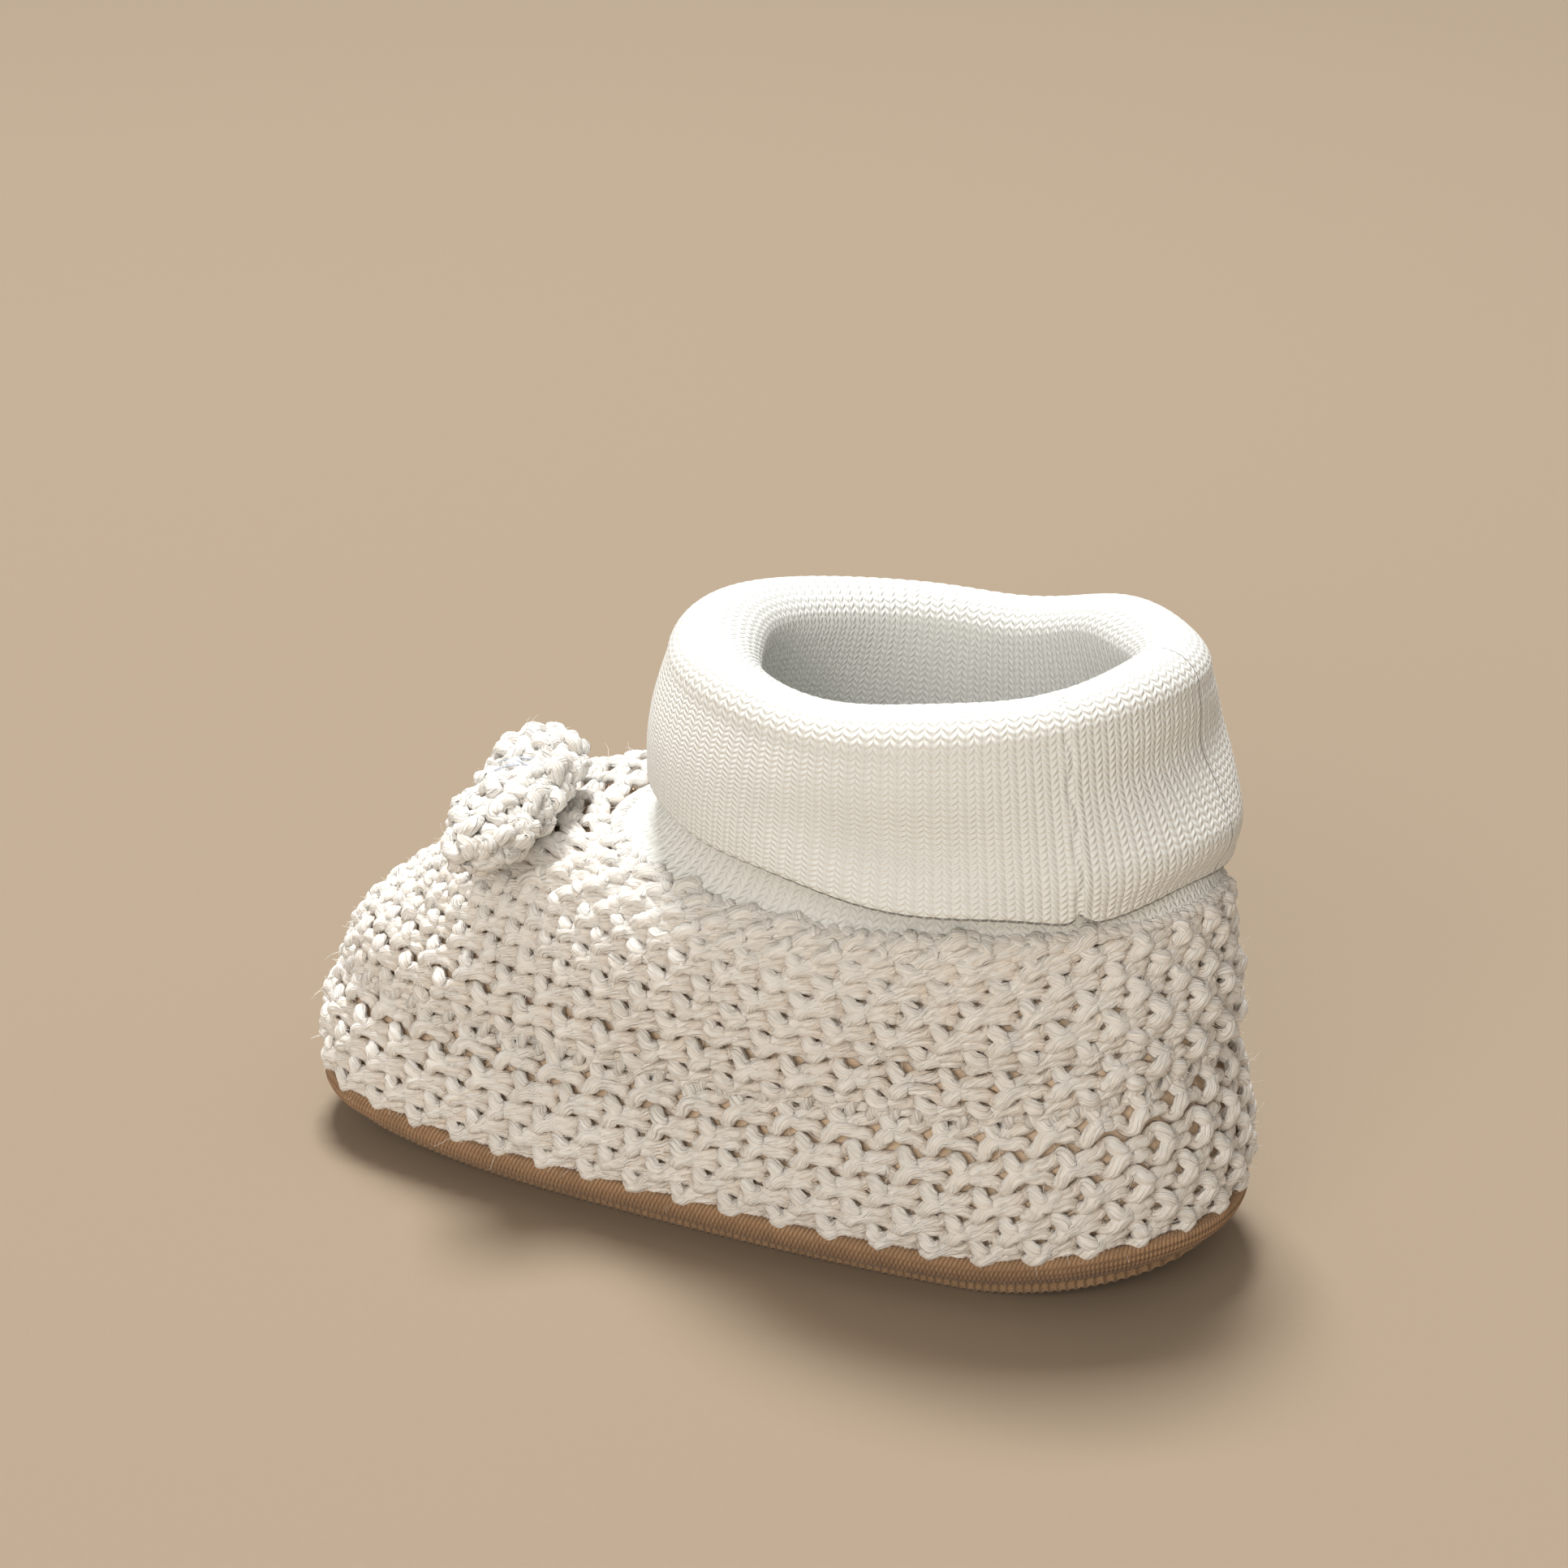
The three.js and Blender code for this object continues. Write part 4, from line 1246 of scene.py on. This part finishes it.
def turned(vectors, axis, degrees):
    # vectors turned about an axis
    spin = np.array(Matrix.Rotation(math.radians(degrees), 3, Vector(axis)))
    return [spin @ v for v in vectors]


def bowFrame():
    # middle of the bow, and its axes across the foot, along it and away from the instep
    joint = {j["name"]: j for j in frame["record"]["behaviour"]["joints"]}
    normal = unit(np.array(joint["bow_swivel"]["axis"], float))
    along = unit(np.cross([1, 0, 0], normal))
    across = np.cross(along, normal)
    low, high = (np.array(c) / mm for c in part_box("bow_wrap"))
    axes = turned((across, along, normal), along, bowShape["tilt"])
    axes = turned(axes, normal, bowShape["twist"])
    return (low + high) / 2 - normal * bowShape["sink"], *axes


def bowSurface(frameOfBow):
    centre, across, along, away = frameOfBow
    s = bowShape

    def surface(around, lengthwise):
        x = mix(-1, 1, np.clip(lengthwise / s["rows"], 0.004, 0.996))
        waist = np.exp(-(x * s["half"] / s["waistWidth"]) ** 2)
        end = np.sqrt(np.clip(1 - np.abs(x) ** 3.2, 0.0, 1))
        deep = mix(s["deep"], s["waistDeep"], waist) * end
        thick = mix(s["thick"], s["waistThick"], waist) * end
        angle = turn * around
        side, up = deep * np.cos(angle), thick * np.sin(angle)
        up = np.where(up < 0, up * s["under"], up)  # flat underneath, where it lies on the instep
        lift = s["lift"] * (1 - waist)
        point = centre + across * (x * s["half"] + s["hang"] * x * x)[:, None]
        point = point + along * side[:, None] + away * (up + lift)[:, None]
        tip = np.sign(x) * np.abs(x) ** 5
        normal = along * (np.cos(angle) * thick)[:, None] + away * (np.sin(angle) * deep)[:, None]
        normal = unit(unit(normal) * (1 - np.abs(tip))[:, None] + across * tip[:, None])
        return point, normal
    return surface


def makeBow():
    s = bowShape
    frameOfBow = bowFrame()
    centre, across, along, away = frameOfBow
    surface = bowSurface(frameOfBow)
    wool = yarnFinish("bowWool", s["colour"], s["hollowFrom"])
    strands = []
    for row in range(s["rows"]):
        strands += knitRow(surface, row, s["stitches"], bowKnit)
    yarnPiece("bowLoops", strands, wool, "bow_yarn", "bow", node="bow_loops")
    makeFuzz("bowFuzz", strands, 500, (1.0, 2.4), wool, "bow_yarn", "bow")
    rows, columns = 30, 40
    x, around = np.meshgrid(np.linspace(0.01, 0.99, rows), np.arange(columns) / columns, indexing="ij")
    point, normal = surface(around.ravel(), x.ravel() * s["rows"])
    core = point - normal * s["coreDepth"]
    ring = np.arange(columns)
    caps = (ringCap(ring[::-1]), ringCap(ring + (rows - 1) * columns))
    faces = np.concatenate([gridFaces(rows, columns, wrapColumns=True), *caps])
    # painted shade: the core seen through the bow's stitches is a darker copy of the wool
    inner = [c * 0.75 for c in s["colour"]]
    filling = plainFinish("bowCoreShade", inner, 1, 0.03, 0.2, roughness=1, specular=0.1)
    makePiece("bowCore", core, faces, filling, "bow_yarn", "bow")
    wrap = []
    for shift in s["wrapPlaces"]:  # the yarn tied round the waist, turns side by side
        a = turn * np.arange(48) / 48
        out = along * np.cos(a)[:, None] + away * np.sin(a)[:, None]
        path = centre + across * (shift + 0.15 * np.sin(2 * a))[:, None]
        rise = s["waistThick"] * np.sin(a)
        rise = np.where(rise < 0, rise * 0.7, rise)
        path = path + along * ((s["waistDeep"] - 0.3) * np.cos(a))[:, None] + away * (rise - 0.3)[:, None]
        wrap.append(sweepYarn(path, out, dict(bowKnit["yarn"], radius=s["wrapRadius"]), closed=True))
    yarnPiece("bowWrap", wrap, wool, "bow_yarn", "bow", node="bow_wrap")
    makeClearThread(centre, across, along, away)
    print("bow tied")


clearYarn = {"radius": 0.13, "sides": 8, "plies": 1, "pitch": 50, "groove": 0.0, "flat": 1.0}
threadSet = {
    # loose bits over the waist: shift along the bow, first and last angle, lean
    "bits": ((-0.9, 55, 105, 1.3), (0.4, 70, 125, -1.0), (1.3, 95, 140, 0.9)),
    "shankRadius": 0.2,
    "shankSpread": 0.28,
    "shankEnds": (-0.75, 0.9),
    "colour": (0.78, 0.83, 0.92),
}


def makeClearThread(centre, across, along, away):
    s = bowShape
    clear = Finish("clearThread", threadSet["colour"], roughness=0.12, specular=0.6)
    clear.shader.inputs["Transmission Weight"].default_value = 0.55
    clear.shader.inputs["IOR"].default_value = 1.5
    clear.tint(clear.noise(0.8), 0.02)
    bits = []
    for shift, start, end, lean in threadSet["bits"]:
        a = np.radians(np.linspace(start, end, 24))
        out = along * np.cos(a)[:, None] + away * np.sin(a)[:, None]
        path = centre + across * (shift + lean * np.linspace(-0.5, 0.5, 24))[:, None]
        path = path + along * ((s["waistDeep"] + 0.6) * np.cos(a))[:, None]
        path = path + away * ((s["waistThick"] + 0.55) * np.sin(a) - 0.3 * np.cos(3 * a) ** 2)[:, None]
        bits.append(sweepYarn(path, out, clearYarn, closed=False))
    yarnPiece("bowThread", bits, clear.material, "clear_thread", "bow")
    low, high = (np.array(c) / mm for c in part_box("bow_tack"))
    middle = (low + high) / 2
    shank = []
    shankYarn = dict(clearYarn, radius=threadSet["shankRadius"])
    t = np.linspace(0, 1, 14)
    for angle in turn * np.arange(3) / 3:  # threads of the shank between instep and bow
        aside = threadSet["shankSpread"] * (across * math.cos(angle) + along * math.sin(angle))
        path = middle + away * mix(*threadSet["shankEnds"], t)[:, None]
        path = path + aside * (1 + 0.6 * np.sin(math.pi * t))[:, None]
        shank.append(sweepYarn(path, np.broadcast_to(across, path.shape), shankYarn, closed=False))
    yarnPiece("bowTack", shank, clear.material, "clear_thread", "tack", node="bow_tack")


makeCamera()
makeStudio()
wool = makeKnit()
jersey = makeCuff()
makeLining(jersey)
makeSole()
makeSeams(wool, jersey)
makeBow()
